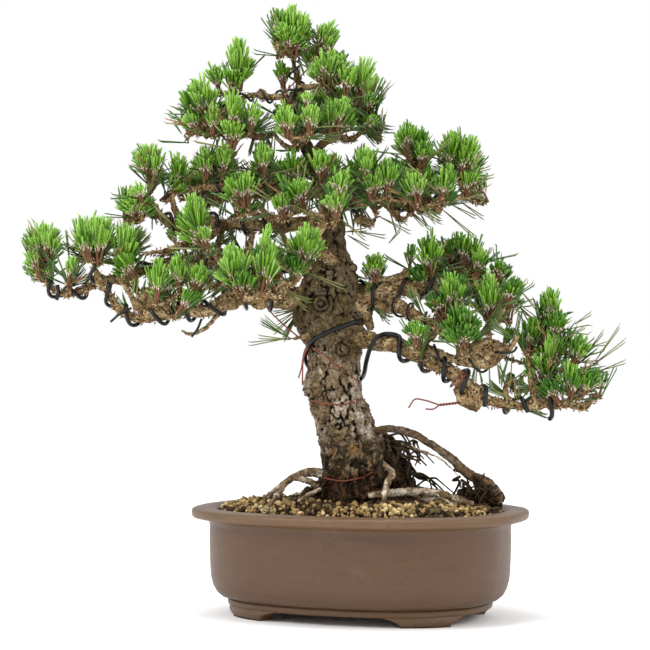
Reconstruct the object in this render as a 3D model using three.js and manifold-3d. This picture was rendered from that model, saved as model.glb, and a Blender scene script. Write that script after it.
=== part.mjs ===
// Potted black pine bonsai with an oval footed pot, in millimetres, +Z up.
// The tree's front faces -Y. The origin is under the middle of the whole, on the ground.
import * as THREE from "three";
import { mergeVertices } from "three/addons/utils/BufferGeometryUtils.js";
import Module from "manifold-3d";

const wasm = await Module();
wasm.setup();

// Pot: an oval drawn by a rounded power curve, turned a little clockwise under the tree
const rimHalfLength = 169;
const rimHalfWidth = 131;
const ovalPower = 2.35;
const potTurn = THREE.MathUtils.degToRad(-22);
const potHeight = 108;
const lipHeight = 8.5;
const lipOverhang = 17;
const rimWidth = 20;
const wallThickness = 8;
const footHeight = 10;
const bandHeight = 7;
const bandInset = 36;
const floorThickness = 10;
const potSides = 28;

// The body's belly, out from the band and up from it, then the slope and the rounding of its lip
const belly = [
  [9, 4],
  [14, 11],
  [18, 28],
];
const lipSlope = 5;
const rimRounding = 2;

// The inside narrows from the wall to the floor over this rise and run
const coveRise = 30;
const coveRun = 12;

const drainRadius = 11;
const drainSpacing = 110;
const drainSides = 12;
const footThickness = 17;
const footHalfSpan = 28;
const footFlare = 20;
const footInset = 3;
const footUndercut = 2;

// Soil: a flat top round the trunk that slopes down to the rim
const soilTop = 117;
const soilEdge = 106;
const soilSlope = 52;
const soilShoulderRun = 7;
const soilShoulderRise = 4;

// Pieces that touch keep this clearance, and a cut may take no more than slivers off a piece's one body
const gap = 0.3;
const leastWhole = 0.97;

const upward = new THREE.Vector3(0, 0, 1);

// The plant is measured in its front view, at the depth of the pot's middle: across from that middle, up from
// the ground and back from it. The eye of that view sets how a point farther back spreads out.
const eye = new THREE.Vector3(-34, -2400, 306);
const seen = (across, up, back) =>
  new THREE.Vector3(across, 0, up).sub(eye).multiplyScalar(1 - back / eye.y).add(eye);

// Trunk stations from below the soil to the tip: across, up, back, radius
const trunkStations = [
  [2, 100, -8, 47],
  [1, 117, -9, 44],
  [-1, 132, -10, 37],
  [-6, 150, -11, 34],
  [-14, 175, -12, 31],
  [-20, 203, -12, 29],
  [-26, 228, -11, 29.5],
  [-26, 250, -9, 27.5],
  [-27, 270, -7, 29],
  [-31, 292, -5, 33],
  [-31, 318, -3, 33],
  [-26, 342, 0, 27],
  [-26, 364, 3, 19],
  [-29, 388, 5, 13],
  [-28, 410, 5, 11],
  [-38, 433, 4, 9.5],
  [-49, 458, 2, 8],
  [-58, 480, 0, 7],
  [-66, 500, -2, 6.5],
  [-68, 514, -3, 6],
  [-62, 530, -4, 5.5],
  [-64, 545, -5, 5],
  [-68, 560, -6, 4],
];
const flareRoots = 5;
const flareDepth = 0.13;
const flareSteps = 2;
const trunkSides = 11;
const trunkSteps = 22;
const boughSides = 6;
const limbUnevenness = 0.05;

// A faceted ball this much larger than its size has about the round ball's volume
const lobeSwell = 1.09;
const lobeSides = 6;
const lobeRows = 5;
const lobeUnevenness = 0.07;

// Boughs, each from inside its parent to where it enters its last mass
const boughStations = {
  bough_low_left: [
    [-45, 312, -6, 14],
    [-84, 319, -20, 12.5],
    [-112, 320, -32, 11],
    [-130, 316, -38, 9],
    [-153, 304, -42, 7.5],
    [-178, 302, -44, 6.5],
    [-203, 294, -46, 5.5],
    [-224, 294, -46, 5],
    [-240, 304, -44, 4.5],
    [-250, 320, -42, 4.2],
    [-262, 338, -40, 4],
    [-266, 352, -38, 3.5],
  ],
  bough_far_left: [
    [-35, 345, 6, 9],
    [-75, 352, 18, 8],
    [-115, 357, 22, 7.5],
    [-155, 354, 18, 7],
    [-194, 352, 8, 6.5],
    [-214, 345, 0, 6],
    [-238, 335, -8, 5.5],
    [-258, 335, -14, 5],
    [-280, 323, -18, 4.5],
    [-300, 322, -20, 4],
    [-314, 334, -20, 3.5],
    [-318, 348, -20, 3],
  ],
  bough_mid_left: [
    [-29, 392, 6, 8],
    [-60, 391, 14, 8],
    [-84, 388, 18, 7.5],
    [-108, 390, 18, 7],
    [-146, 392, 10, 6.5],
    [-160, 398, 4, 6.5],
    [-178, 389, -4, 6],
    [-195, 395, -8, 5.5],
    [-212, 417, -10, 4.5],
  ],
  bough_grey_left: [
    [-136, 392, 10, 4.5],
    [-149, 379, -4, 4.5],
    [-163, 372, -14, 4.2],
    [-180, 369, -22, 4],
    [-196, 364, -28, 3.6],
    [-220, 362, -34, 3],
  ],
  bough_front_left: [
    [-70, 318, -20, 7],
    [-84, 328, -44, 6.5],
    [-96, 338, -66, 5.5],
    [-108, 346, -86, 4.5],
  ],
  bough_front: [
    [-28, 352, -12, 7],
    [-34, 360, -34, 6],
    [-46, 366, -58, 5],
    [-54, 370, -74, 4],
  ],
  bough_second_left: [
    [-33, 420, 4, 6],
    [-62, 424, -4, 5.5],
    [-90, 428, -12, 5],
    [-118, 426, -14, 4.5],
    [-146, 428, -10, 4],
    [-172, 424, -6, 3.5],
  ],
  bough_top_left: [
    [-66, 512, -2, 4],
    [-78, 518, -4, 4],
    [-92, 518, -5, 3.8],
    [-112, 519, -6, 3.5],
    [-128, 508, -8, 3.2],
    [-148, 500, -8, 3],
  ],
  bough_top_right: [
    [-62, 526, -4, 4],
    [-48, 528, -8, 4],
    [-36, 527, -10, 3.8],
    [-22, 524, -12, 3.4],
  ],
  bough_upper_right: [
    [-49, 458, 2, 5],
    [-36, 472, -2, 4.5],
    [-22, 478, -4, 4.2],
    [-8, 476, -4, 4],
    [4, 485, -4, 3.5],
  ],
  bough_mid_right: [
    [-28, 406, 4, 7],
    [-4, 412, 4, 6.5],
    [20, 416, 2, 6],
    [42, 413, 0, 6],
    [58, 413, -2, 5.5],
    [74, 411, -4, 5],
    [92, 414, -4, 4.5],
  ],
  bough_right: [
    [-14, 310, -6, 10],
    [14, 318, -10, 9],
    [36, 324, -14, 8],
    [60, 328, -16, 7],
    [84, 330, -16, 6],
    [108, 328, -16, 5],
    [130, 326, -16, 4],
  ],
  bough_right_fork: [
    [30, 321, -14, 5],
    [44, 304, -32, 5],
    [58, 299, -46, 4.5],
    [76, 288, -58, 4],
    [84, 278, -64, 3.5],
  ],
  bough_low_right: [
    [-14, 272, -12, 11],
    [6, 276, -22, 10],
    [20, 272, -30, 9.5],
    [36, 270, -36, 9],
    [54, 262, -42, 8.5],
    [74, 252, -48, 8],
    [92, 243, -52, 8],
    [108, 229, -54, 8.5],
    [128, 215, -54, 7.5],
    [148, 211, -52, 6.5],
    [168, 209, -50, 6],
    [186, 211, -50, 5.5],
    [206, 211, -50, 5],
    [226, 209, -50, 4.5],
    [238, 222, -50, 3.5],
  ],
  bough_back_low: [
    [-26, 335, 14, 8],
    [-30, 340, 38, 7.5],
    [-44, 346, 62, 7],
    [-66, 350, 86, 6],
    [-88, 352, 104, 5],
  ],
  bough_back_mid: [
    [-26, 412, 8, 6],
    [-18, 420, 32, 5.5],
    [-8, 426, 56, 5],
    [8, 430, 78, 4],
  ],
  bough_back_right: [
    [-18, 322, 14, 7],
    [14, 328, 34, 6.5],
    [44, 332, 50, 6],
    [74, 334, 62, 5],
  ],
};

// Roots above the soil; the high one that arches over a gap is two pieces that meet at its bend
const rootStations = {
  root_arch_rise: [
    [0, 176, -10, 6],
    [15, 184, -10, 5],
    [29, 186, -10, 4.6],
    [50, 182, -10, 4.5],
    [71, 171, -9, 4.4],
  ],
  root_arch_fall: [
    [71.4, 170.8, -9, 4.4],
    [92, 156, -8, 4.4],
    [109, 141, -6, 4.6],
    [128, 131, -4, 5],
    [141, 112, -2, 6.5],
  ],
  root_left: [
    [-32, 138, -10, 7],
    [-46, 143, 4, 5.5],
    [-59, 141, 14, 4.8],
    [-76, 131, 24, 4.2],
    [-93, 119, 30, 3.8],
  ],
  root_left_front: [
    [-36, 126, -22, 5],
    [-52, 134, -24, 4.2],
    [-67, 137, -30, 4],
    [-80, 122, -50, 3.8],
    [-93, 106, -70, 3.4],
  ],
  root_front: [
    [24, 150, -30, 4.6],
    [33, 141, -42, 4.2],
    [28, 133, -52, 4],
    [25, 118, -60, 3.8],
    [25, 106, -64, 3.6],
  ],
  root_long_low: [
    [0, 119, -40, 5],
    [25, 121, -46, 5],
    [50, 123, -46, 4.8],
    [82, 121, -44, 4.6],
    [114, 112, -40, 4.2],
  ],
};

// Foliage masses, each of one to four lobes: across, up, back, then half of its width, height and depth
const massLobes = {
  foliage_apex: [
    [-73, 584, -6, 27, 27, 27],
    [-34, 573, 2, 17, 21, 24],
  ],
  foliage_stem_left: [[-77, 540, 8, 14, 14, 14]],
  foliage_top_shoulder: [[-24, 541, -18, 23, 25, 26]],
  foliage_top_right: [
    [10, 525, 0, 22, 30, 30],
    [12, 496, -6, 16, 14, 22],
  ],
  foliage_top_centre: [
    [-62, 495, -34, 27, 19, 28],
    [-26, 502, -28, 20, 19, 25],
  ],
  foliage_top_left_tip: [
    [-123, 547, -6, 17, 26, 18],
    [-148, 537, 2, 17, 18, 17],
  ],
  foliage_top_left: [
    [-169, 507, -6, 28, 27, 29],
    [-124, 501, -20, 29, 22, 32],
    [-138, 498, 34, 32, 18, 32],
  ],
  foliage_top_back_right: [
    [-22, 512, 48, 32, 24, 32],
    [-62, 510, 28, 22, 19, 26],
  ],
  foliage_second_far_left: [
    [-212, 452, -12, 22, 23, 25],
    [-230, 416, -26, 21, 23, 26],
  ],
  foliage_second_left: [
    [-180, 443, 4, 17, 21, 22],
    [-144, 453, 0, 25, 22, 26],
  ],
  foliage_second_left_low: [
    [-165, 398, -38, 15, 24, 22],
    [-157, 376, -36, 16, 15, 29],
  ],
  foliage_second_mid_left: [
    [-113, 429, -34, 18, 23, 24],
    [-96, 451, -14, 17, 21, 27],
  ],
  foliage_second_centre: [
    [-68, 445, -22, 20, 19, 24],
    [-70, 422, -50, 19, 21, 28],
    [-39, 450, -40, 17, 18, 24],
    [-22, 424, -66, 20, 25, 28],
  ],
  foliage_second_right_inner: [
    [10, 456, -20, 18, 19, 26],
    [15, 432, -34, 23, 21, 30],
    [54, 468, -8, 23, 26, 30],
    [66, 435, -22, 33, 24, 34],
  ],
  foliage_second_right: [
    [101, 463, 0, 28, 24, 31],
    [120, 436, -4, 22, 17, 26],
  ],
  foliage_second_back: [
    [-20, 442, 80, 44, 24, 40],
    [46, 444, 62, 34, 22, 34],
    [-12, 444, 126, 34, 19, 26],
  ],
  foliage_second_back_left: [
    [-150, 434, 54, 40, 22, 36],
    [-92, 440, 78, 32, 20, 32],
    [-140, 436, 94, 32, 19, 26],
  ],
  foliage_low_far_left: [
    [-316, 370, -20, 22, 27, 26],
    [-322, 346, -18, 16, 16, 20],
  ],
  foliage_low_left_outer: [
    [-267, 376, -36, 25, 29, 28],
    [-230, 368, -30, 20, 28, 26],
    [-286, 347, -26, 16, 18, 20],
  ],
  foliage_low_left_mid: [
    [-194, 333, -56, 17, 23, 24],
    [-168, 336, -58, 20, 27, 28],
  ],
  foliage_low_left_inner: [
    [-121, 350, -98, 21, 20, 26],
    [-91, 354, -92, 21, 23, 28],
  ],
  foliage_low_left_under: [[-88, 289, -40, 28, 19, 24]],
  foliage_front: [[-54, 368, -84, 24, 21, 28]],
  foliage_low_back: [
    [-104, 352, 122, 40, 24, 40],
    [-165, 352, 74, 34, 20, 36],
    [-158, 350, 120, 30, 19, 28],
  ],
  foliage_right_inner: [[16, 345, -6, 17, 19, 20]],
  foliage_right_upper: [
    [71, 357, -12, 21, 24, 26],
    [103, 368, 4, 22, 19, 26],
    [131, 349, 0, 25, 19, 28],
  ],
  foliage_right_middle: [
    [95, 322, -44, 24, 19, 26],
    [137, 323, -36, 29, 17, 26],
  ],
  foliage_right_lower: [
    [57, 284, -72, 16, 15, 18],
    [79, 284, -72, 18, 12, 18],
    [101, 291, -72, 21, 22, 26],
  ],
  foliage_far_right: [
    [183, 296, -28, 24, 31, 30],
    [212, 277, -34, 28, 25, 32],
    [212, 241, -50, 37, 24, 34],
    [246, 262, -46, 18, 16, 22],
  ],
  foliage_right_back: [
    [96, 338, 66, 34, 26, 38],
    [140, 320, 52, 28, 18, 30],
    [108, 332, 108, 32, 21, 28],
  ],
};

const colours = {
  pot: 0x7a5c4a,
  soil: 0x9c8a62,
  bark: 0x8a7862,
  bough: 0x8c7250,
  root: 0x9a8570,
  foliage: 0x5f9a35,
};

// A three.js geometry as a solid for joins and cuts
function solidOf(geometry) {
  const bare = geometry.index ? geometry.toNonIndexed() : geometry.clone();
  bare.deleteAttribute("normal");
  bare.deleteAttribute("uv");
  const merged = mergeVertices(bare, 1e-4);
  return new wasm.Manifold(
    new wasm.Mesh({
      numProp: 3,
      vertProperties: merged.attributes.position.array,
      triVerts: new Uint32Array(merged.index.array),
    }),
  );
}

// A solid as a named mesh, without the slivers that a cut leaves beside its one body
function meshOf(name, solid, colour, roughness) {
  const body = solid.decompose().reduce((a, b) => (b.volume() > a.volume() ? b : a));
  if (body.volume() < leastWhole * solid.volume()) throw new Error(name + " is cut or drawn in two");
  const { vertProperties, triVerts } = body.getMesh();
  const geometry = new THREE.BufferGeometry();
  geometry.setAttribute("position", new THREE.BufferAttribute(vertProperties, 3));
  geometry.setIndex(new THREE.BufferAttribute(triVerts, 1));
  geometry.computeVertexNormals();
  const material = new THREE.MeshStandardMaterial({ color: colour, roughness, metalness: 0 });
  const mesh = new THREE.Mesh(geometry, material);
  mesh.name = name;
  return mesh;
}

// Moves every vertex of a geometry to place(vertex)
function reshape(geometry, place) {
  const position = geometry.attributes.position;
  const vertex = new THREE.Vector3();
  for (let i = 0; i < position.count; i++) {
    place(vertex.fromBufferAttribute(position, i));
    position.setXYZ(i, vertex.x, vertex.y, vertex.z);
  }
  return geometry;
}

// A point of the pot's oval at an angle, for half sizes a and b, turned with the pot
function ovalPoint(angle, a, b, target) {
  const round = (value) => Math.sign(value) * Math.abs(value) ** (2 / ovalPower);
  target.set(a * round(Math.cos(angle)), b * round(Math.sin(angle)), target.z);
  return target.applyAxisAngle(upward, potTurn);
}

// A solid of the pot's oval from a profile of [inset from the rim's edge, height], closed on the axis
function ovalSolid(profile) {
  const onAxis = (height) => new THREE.Vector2(0, height);
  const points = profile.map(([inset, height]) => new THREE.Vector2(rimHalfLength - inset, height));
  points.unshift(onAxis(profile[0][1]));
  points.push(onAxis(profile.at(-1)[1]));
  const turned = new THREE.LatheGeometry(points, potSides);
  return solidOf(
    reshape(turned, (v) => {
      const reach = Math.hypot(v.x, v.z);
      const angle = Math.atan2(-v.z, v.x);
      v.set(0, 0, v.y);
      if (reach > 1) ovalPoint(angle, reach, reach - rimHalfLength + rimHalfWidth, v);
    }),
  );
}

// The pot without its feet, open at the top, with two drain holes
function potBody() {
  const bandTop = footHeight + bandHeight;
  const lipBottom = potHeight - lipHeight;
  const floorTop = footHeight + floorThickness;
  const inner = lipOverhang + wallThickness;
  const body = ovalSolid([
    [bandInset, footHeight],
    [bandInset, bandTop],
    ...belly.map(([out, rise]) => [bandInset - out, bandTop + rise]),
    [lipOverhang, lipBottom - lipSlope],
    [0.5 * rimRounding, lipBottom],
    [0, potHeight - rimRounding],
    [0.75 * rimRounding, potHeight],
    [rimWidth, potHeight],
    [inner, potHeight - lipSlope],
    [inner, bandTop + coveRise],
    [inner + coveRun, floorTop],
  ]);
  return [-1, 1].reduce((left, side) => left.subtract(drainHole(side)), body);
}

// One of the two drain holes, as the solid that cuts it
function drainHole(side) {
  const hole = new THREE.CylinderGeometry(drainRadius, drainRadius, 4 * floorThickness, drainSides);
  hole.rotateX(Math.PI / 2);
  hole.translate((side * drainSpacing) / 2, 0, footHeight);
  hole.rotateZ(potTurn);
  return solidOf(hole);
}

// The soil, or with a clearance the space that it takes from what stands in it
function soil(clearance = 0) {
  const inner = lipOverhang + wallThickness + gap;
  const bandTop = footHeight + bandHeight;
  return ovalSolid([
    [inner + coveRun, footHeight + floorThickness + gap],
    [inner, bandTop + coveRise],
    [inner, soilEdge + clearance],
    [inner + soilShoulderRun, soilEdge + soilShoulderRise + clearance],
    [inner + soilSlope, soilTop + clearance],
  ]);
}

// A bracket foot: a box bent round a corner of the oval, wider at its top than on the ground
function potFoot(angle) {
  const top = footHeight - gap;
  const outer = bandInset + footInset;
  const box = new THREE.BoxGeometry(1, 1, 1, 6, 1, 2);
  const a = rimHalfLength - outer;
  const b = rimHalfWidth - outer;
  return solidOf(
    reshape(box, (v) => {
      const rise = v.z + 0.5;
      const halfSpan = (footHalfSpan + footFlare * rise ** 2) / Math.hypot(a, b);
      const inward = (0.5 - v.y) * footThickness + footUndercut * (1 - rise);
      const turn = angle - 2 * v.x * halfSpan * Math.SQRT2;
      v.z = rise * top;
      ovalPoint(turn, a - inward, b - inward, v);
    }),
  );
}

// A round tapering limb through its stations: a turned profile bent along their curve
function limb(stations, sides, steps, clearance = 0, flare = 0) {
  const curve = new THREE.CatmullRomCurve3(stations.map(([across, up, back]) => seen(across, up, back)));
  const frames = curve.computeFrenetFrames(steps);
  const radiusAt = (share) => {
    const place = curve.getUtoTmapping(share) * (stations.length - 1);
    const i = Math.min(Math.floor(place), stations.length - 2);
    return THREE.MathUtils.lerp(stations[i][3], stations[i + 1][3], place - i) + clearance;
  };
  const profile = [new THREE.Vector2(0, 0)];
  for (let i = 0; i <= steps; i++) profile.push(new THREE.Vector2(radiusAt(i / steps), i));
  profile.push(new THREE.Vector2(0, steps));
  const turned = new THREE.LatheGeometry(profile, sides);
  return solidOf(
    reshape(turned, (v) => {
      const i = Math.round(v.y);
      const angle = Math.atan2(v.z, v.x);
      const ridge = flare * Math.cos(flareRoots * angle) * Math.exp(-i / flareSteps);
      const uneven = 1 + limbUnevenness * Math.sin(2 * angle + i) + ridge;
      const centre = curve.getPointAt(i / steps);
      const end = i === 0 ? -clearance : i === steps ? clearance : 0;
      centre.addScaledVector(frames.tangents[i], end);
      centre.addScaledVector(frames.normals[i], v.x * uneven);
      v.copy(centre.addScaledVector(frames.binormals[i], -v.z * uneven));
    }),
  );
}

// One uneven lobe of foliage
function lobe([across, up, back, halfWidth, halfHeight, halfDepth], clearance = 0) {
  const ball = new THREE.SphereGeometry(lobeSwell, lobeSides, lobeRows).rotateX(Math.PI / 2);
  const half = new THREE.Vector3(halfWidth, halfDepth, halfHeight).addScalar(clearance);
  const centre = seen(across, up, back);
  return solidOf(
    reshape(ball, (v) => {
      const swell = Math.sin(4 * v.x + across) + Math.sin(5 * v.y + up);
      v.multiplyScalar(1 + lobeUnevenness * swell).multiply(half).add(centre);
    }),
  );
}

const mass = (lobes, clearance) =>
  lobes.map((sizes) => lobe(sizes, clearance)).reduce((joined, next) => joined.add(next));

const trunkLimb = (clearance) => limb(trunkStations, trunkSides, trunkSteps, clearance, flareDepth);
const boughLimb = (stations, clearance) => limb(stations, boughSides, stations.length - 1, clearance);

const group = new THREE.Group();
const add = (name, solid, colour, roughness) => group.add(meshOf(name, solid, colour, roughness));

add("pot_body", potBody(), colours.pot, 0.75);
const corners = { front_right: -45, front_left: -135, back_left: 135, back_right: 45 };
for (const [corner, degrees] of Object.entries(corners))
  add("pot_foot_" + corner, potFoot(THREE.MathUtils.degToRad(degrees)), colours.pot, 0.75);
add("soil", soil(), colours.soil, 1);

// Each piece is cut clear of the pieces before it
let standing = soil(gap);
function addCut(name, make, colour, roughness) {
  add(name, make(0).subtract(standing), colour, roughness);
  standing = standing.add(make(gap));
}

addCut("trunk", trunkLimb, colours.bark, 0.95);
for (const [name, stations] of Object.entries(rootStations))
  addCut(name, (clearance) => boughLimb(stations, clearance), colours.root, 0.9);
for (const [name, stations] of Object.entries(boughStations))
  addCut(name, (clearance) => boughLimb(stations, clearance), colours.bough, 0.95);
for (const [name, lobes] of Object.entries(massLobes))
  addCut(name, (clearance) => mass(lobes, clearance), colours.foliage, 0.6);

const box = new THREE.Box3().setFromObject(group);
const middle = box.getCenter(new THREE.Vector3());
group.position.set(-middle.x, -middle.y, -box.min.z);

export default group;
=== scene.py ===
"""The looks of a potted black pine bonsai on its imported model: an add-on that also runs as a script."""

import collections
import functools
import math

import bmesh
import bpy
import numpy as np
from bpy.props import FloatProperty, FloatVectorProperty, IntProperty, PointerProperty
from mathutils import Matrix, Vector
from mathutils.bvhtree import BVHTree


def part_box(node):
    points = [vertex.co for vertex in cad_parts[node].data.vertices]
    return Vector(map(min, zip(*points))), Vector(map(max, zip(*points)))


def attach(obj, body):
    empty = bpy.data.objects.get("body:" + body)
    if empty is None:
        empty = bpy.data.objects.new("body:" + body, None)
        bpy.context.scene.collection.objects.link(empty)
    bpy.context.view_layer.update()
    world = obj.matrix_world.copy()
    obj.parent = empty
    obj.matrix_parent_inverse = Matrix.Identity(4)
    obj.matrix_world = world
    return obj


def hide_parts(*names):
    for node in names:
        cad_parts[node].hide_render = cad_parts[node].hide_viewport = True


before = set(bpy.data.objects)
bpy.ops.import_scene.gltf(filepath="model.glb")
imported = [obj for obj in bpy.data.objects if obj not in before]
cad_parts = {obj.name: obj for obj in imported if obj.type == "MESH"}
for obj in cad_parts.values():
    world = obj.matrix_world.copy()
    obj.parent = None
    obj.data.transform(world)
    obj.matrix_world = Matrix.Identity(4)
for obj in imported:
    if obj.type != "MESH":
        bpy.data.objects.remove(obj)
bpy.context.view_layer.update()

bl_info = {
    "name": "Potted Black Pine Bonsai",
    "version": (1, 0, 0),
    "blender": (4, 5, 0),
    "location": "3D View > Sidebar > Bonsai",
    "description": "Builds the bark, twigs, needles, wires, grit and pot of a black pine bonsai",
    "category": "Object",
}

MM = 0.001
UP = np.array((0.0, 0.0, 1.0))
BACK = np.array((0.0, 1.0, 0.0))
WHOLE_TURN = 2 * math.pi
GOLDEN_ANGLE = math.pi * (3 - math.sqrt(5))
LIMB_STEP = 3 * MM
MOST_TRIANGLES = 190_000
PICTURE_SIDE = 650

# The pot's middle on the ground, and the eye of the front view, which looks along +Y
pot_low, pot_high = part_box("pot_body")
POT_MIDDLE = np.array(((pot_low.x + pot_high.x) / 2, (pot_low.y + pot_high.y) / 2, 0.0))
EYE = POT_MIDDLE + np.array((-0.0345, -2.4, 0.306))
EYE_BACK = POT_MIDDLE[1] - EYE[1]
HORIZON_ROW = 309

# Limbs are measured in the front view, in millimetres at the depth of the pot's middle: across from that
# middle, up from the ground, back from it, and the radius.
TRUNK = [
    (2, 100, -8, 46), (1, 117, -9, 42), (-1, 132, -10, 36), (-6, 150, -11, 33), (-12, 175, -12, 30.6),
    (-18, 203, -12, 29), (-25.5, 228, -11, 29.5), (-25.5, 250, -9, 29), (-27, 270, -7, 29),
    (-31, 292, -5, 33), (-31, 318, -3, 33), (-26, 342, 0, 26), (-27, 364, 3, 17.5), (-26.5, 388, 5, 15.5),
    (-28, 410, 5, 11), (-38, 433, 4, 9.5), (-49, 458, 2, 8), (-58, 480, 0, 7), (-66, 500, -2, 6.5),
    (-68, 514, -3, 6), (-62, 530, -4, 5.5), (-64, 545, -5, 5), (-68, 560, -6, 4),
]
BOUGHS = {
    "bough_low_left": [
        (-30, 306, -2, 16), (-45, 312, -6, 14), (-84, 319, -20, 12.5), (-112, 320, -32, 11),
        (-130, 316, -38, 9), (-153, 304, -42, 7.5), (-178, 304, -44, 6.5), (-203, 298, -46, 5.5),
        (-224, 297, -46, 5), (-240, 306, -44, 4.5), (-250, 320, -42, 4.2), (-262, 338, -40, 4),
        (-266, 352, -38, 3.2),
    ],
    "bough_far_left": [
        (-35, 345, 6, 9), (-75, 352, 18, 8), (-115, 357, 22, 7.5), (-155, 354, 18, 7), (-194, 352, 8, 6.5),
        (-214, 345, 0, 6), (-238, 335, -8, 5.5), (-258, 335, -14, 5), (-280, 323, -18, 4.5),
        (-300, 322, -20, 4), (-314, 334, -20, 3.5), (-318, 348, -20, 2.6),
    ],
    "bough_mid_left": [
        (-29, 392, 6, 9), (-60, 391, 14, 8), (-84, 388, 18, 7.5), (-108, 390, 18, 7), (-146, 392, 10, 6.5),
        (-160, 398, 4, 6.5), (-178, 389, -4, 6), (-195, 395, -8, 5.5), (-212, 417, -10, 4),
    ],
    "bough_grey_left": [
        (-136, 392, 10, 4.5), (-149, 379, -4, 4.5), (-163, 372, -14, 4.2), (-180, 369, -22, 4),
        (-196, 364, -28, 3.6), (-220, 362, -34, 2.4),
    ],
    "bough_front_left": [
        (-70, 318, -20, 7), (-84, 328, -44, 6.5), (-96, 338, -66, 5.5), (-108, 346, -86, 4),
    ],
    "bough_front": [(-28, 352, -12, 7), (-34, 360, -34, 6), (-46, 366, -58, 5), (-54, 370, -74, 3.5)],
    "bough_second_left": [
        (-33, 420, 4, 6), (-62, 424, -4, 5.5), (-90, 428, -12, 5), (-118, 426, -14, 4.5),
        (-146, 428, -10, 4), (-172, 424, -6, 3),
    ],
    "bough_top_left": [
        (-66, 512, -2, 5), (-78, 518, -4, 4), (-92, 518, -5, 3.8), (-112, 519, -6, 3.5),
        (-128, 508, -8, 3.2), (-148, 500, -8, 2.6),
    ],
    "bough_top_right": [(-62, 526, -4, 5), (-48, 528, -8, 4), (-36, 527, -10, 3.8), (-22, 524, -12, 3)],
    "bough_upper_right": [
        (-49, 458, 2, 6), (-36, 472, -2, 4.5), (-22, 478, -4, 4.2), (-8, 476, -4, 4), (4, 485, -4, 3),
    ],
    "bough_mid_right": [
        (-28, 406, 4, 8), (-4, 412, 4, 6.5), (20, 416, 2, 6), (42, 413, 0, 6), (58, 413, -2, 5.5),
        (74, 411, -4, 5), (92, 414, -4, 3.6),
    ],
    "bough_right": [
        (-26, 308, -4, 14), (-6, 311, -8, 11), (14, 318, -10, 9), (36, 324, -14, 8), (60, 328, -16, 7),
        (84, 330, -16, 6), (108, 328, -16, 5), (130, 326, -16, 3.4),
    ],
    "bough_right_fork": [
        (30, 318, -14, 7.5), (44, 306, -32, 7), (58, 299, -46, 6), (76, 288, -58, 4), (84, 278, -64, 3),
    ],
    "bough_low_right": [
        (-24, 268, -8, 14), (-10, 273, -13, 12), (6, 276, -22, 10), (20, 272, -30, 9.5), (36, 270, -36, 9),
        (54, 262, -42, 8.5), (74, 252, -48, 8), (92, 243, -52, 8), (108, 229, -54, 8.5),
        (128, 215, -54, 6.4), (148, 211, -52, 5.4), (168, 209, -50, 5), (186, 211, -50, 5),
        (206, 211, -50, 4.6), (226, 209, -50, 4.2), (238, 222, -50, 2.6),
    ],
    "bough_back_low": [
        (-26, 335, 14, 9), (-30, 340, 38, 7.5), (-44, 346, 62, 7), (-66, 350, 86, 6), (-88, 352, 104, 4),
    ],
    "bough_back_mid": [(-26, 412, 8, 7), (-18, 420, 32, 5.5), (-8, 426, 56, 5), (8, 430, 78, 3.4)],
    "bough_back_right": [(-18, 322, 14, 8), (14, 328, 34, 6.5), (44, 332, 50, 6), (74, 334, 62, 4)],
}
# Lumps of the trunk, and the short ridges of its root flare: degrees round it, reach and rise
TRUNK_LUMPS = [
    (-52, 300, -14, 17), (-10, 262, -20, 15), (-46, 232, -20, 14), (-20, 330, -12, 17), (-8, 290, -18, 16),
]
SPURS = [
    (-12, 57, 26), (38, 54, 20), (95, 52, 22), (150, 55, 24), (200, 56, 22), (250, 53, 20), (305, 55, 24),
]
# Healed cuts: across, up and radius, and their rings from the edge inward: width and rise as shares of it
CUTS = {"cut_upper": (-7, 347, 4.6), "cut_middle": (-16, 266, 4.4)}
CUT_RINGS = ((0.22, 0.1), (0.18, -0.16), (0.2, 0.05), (0.18, -0.03))
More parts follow.
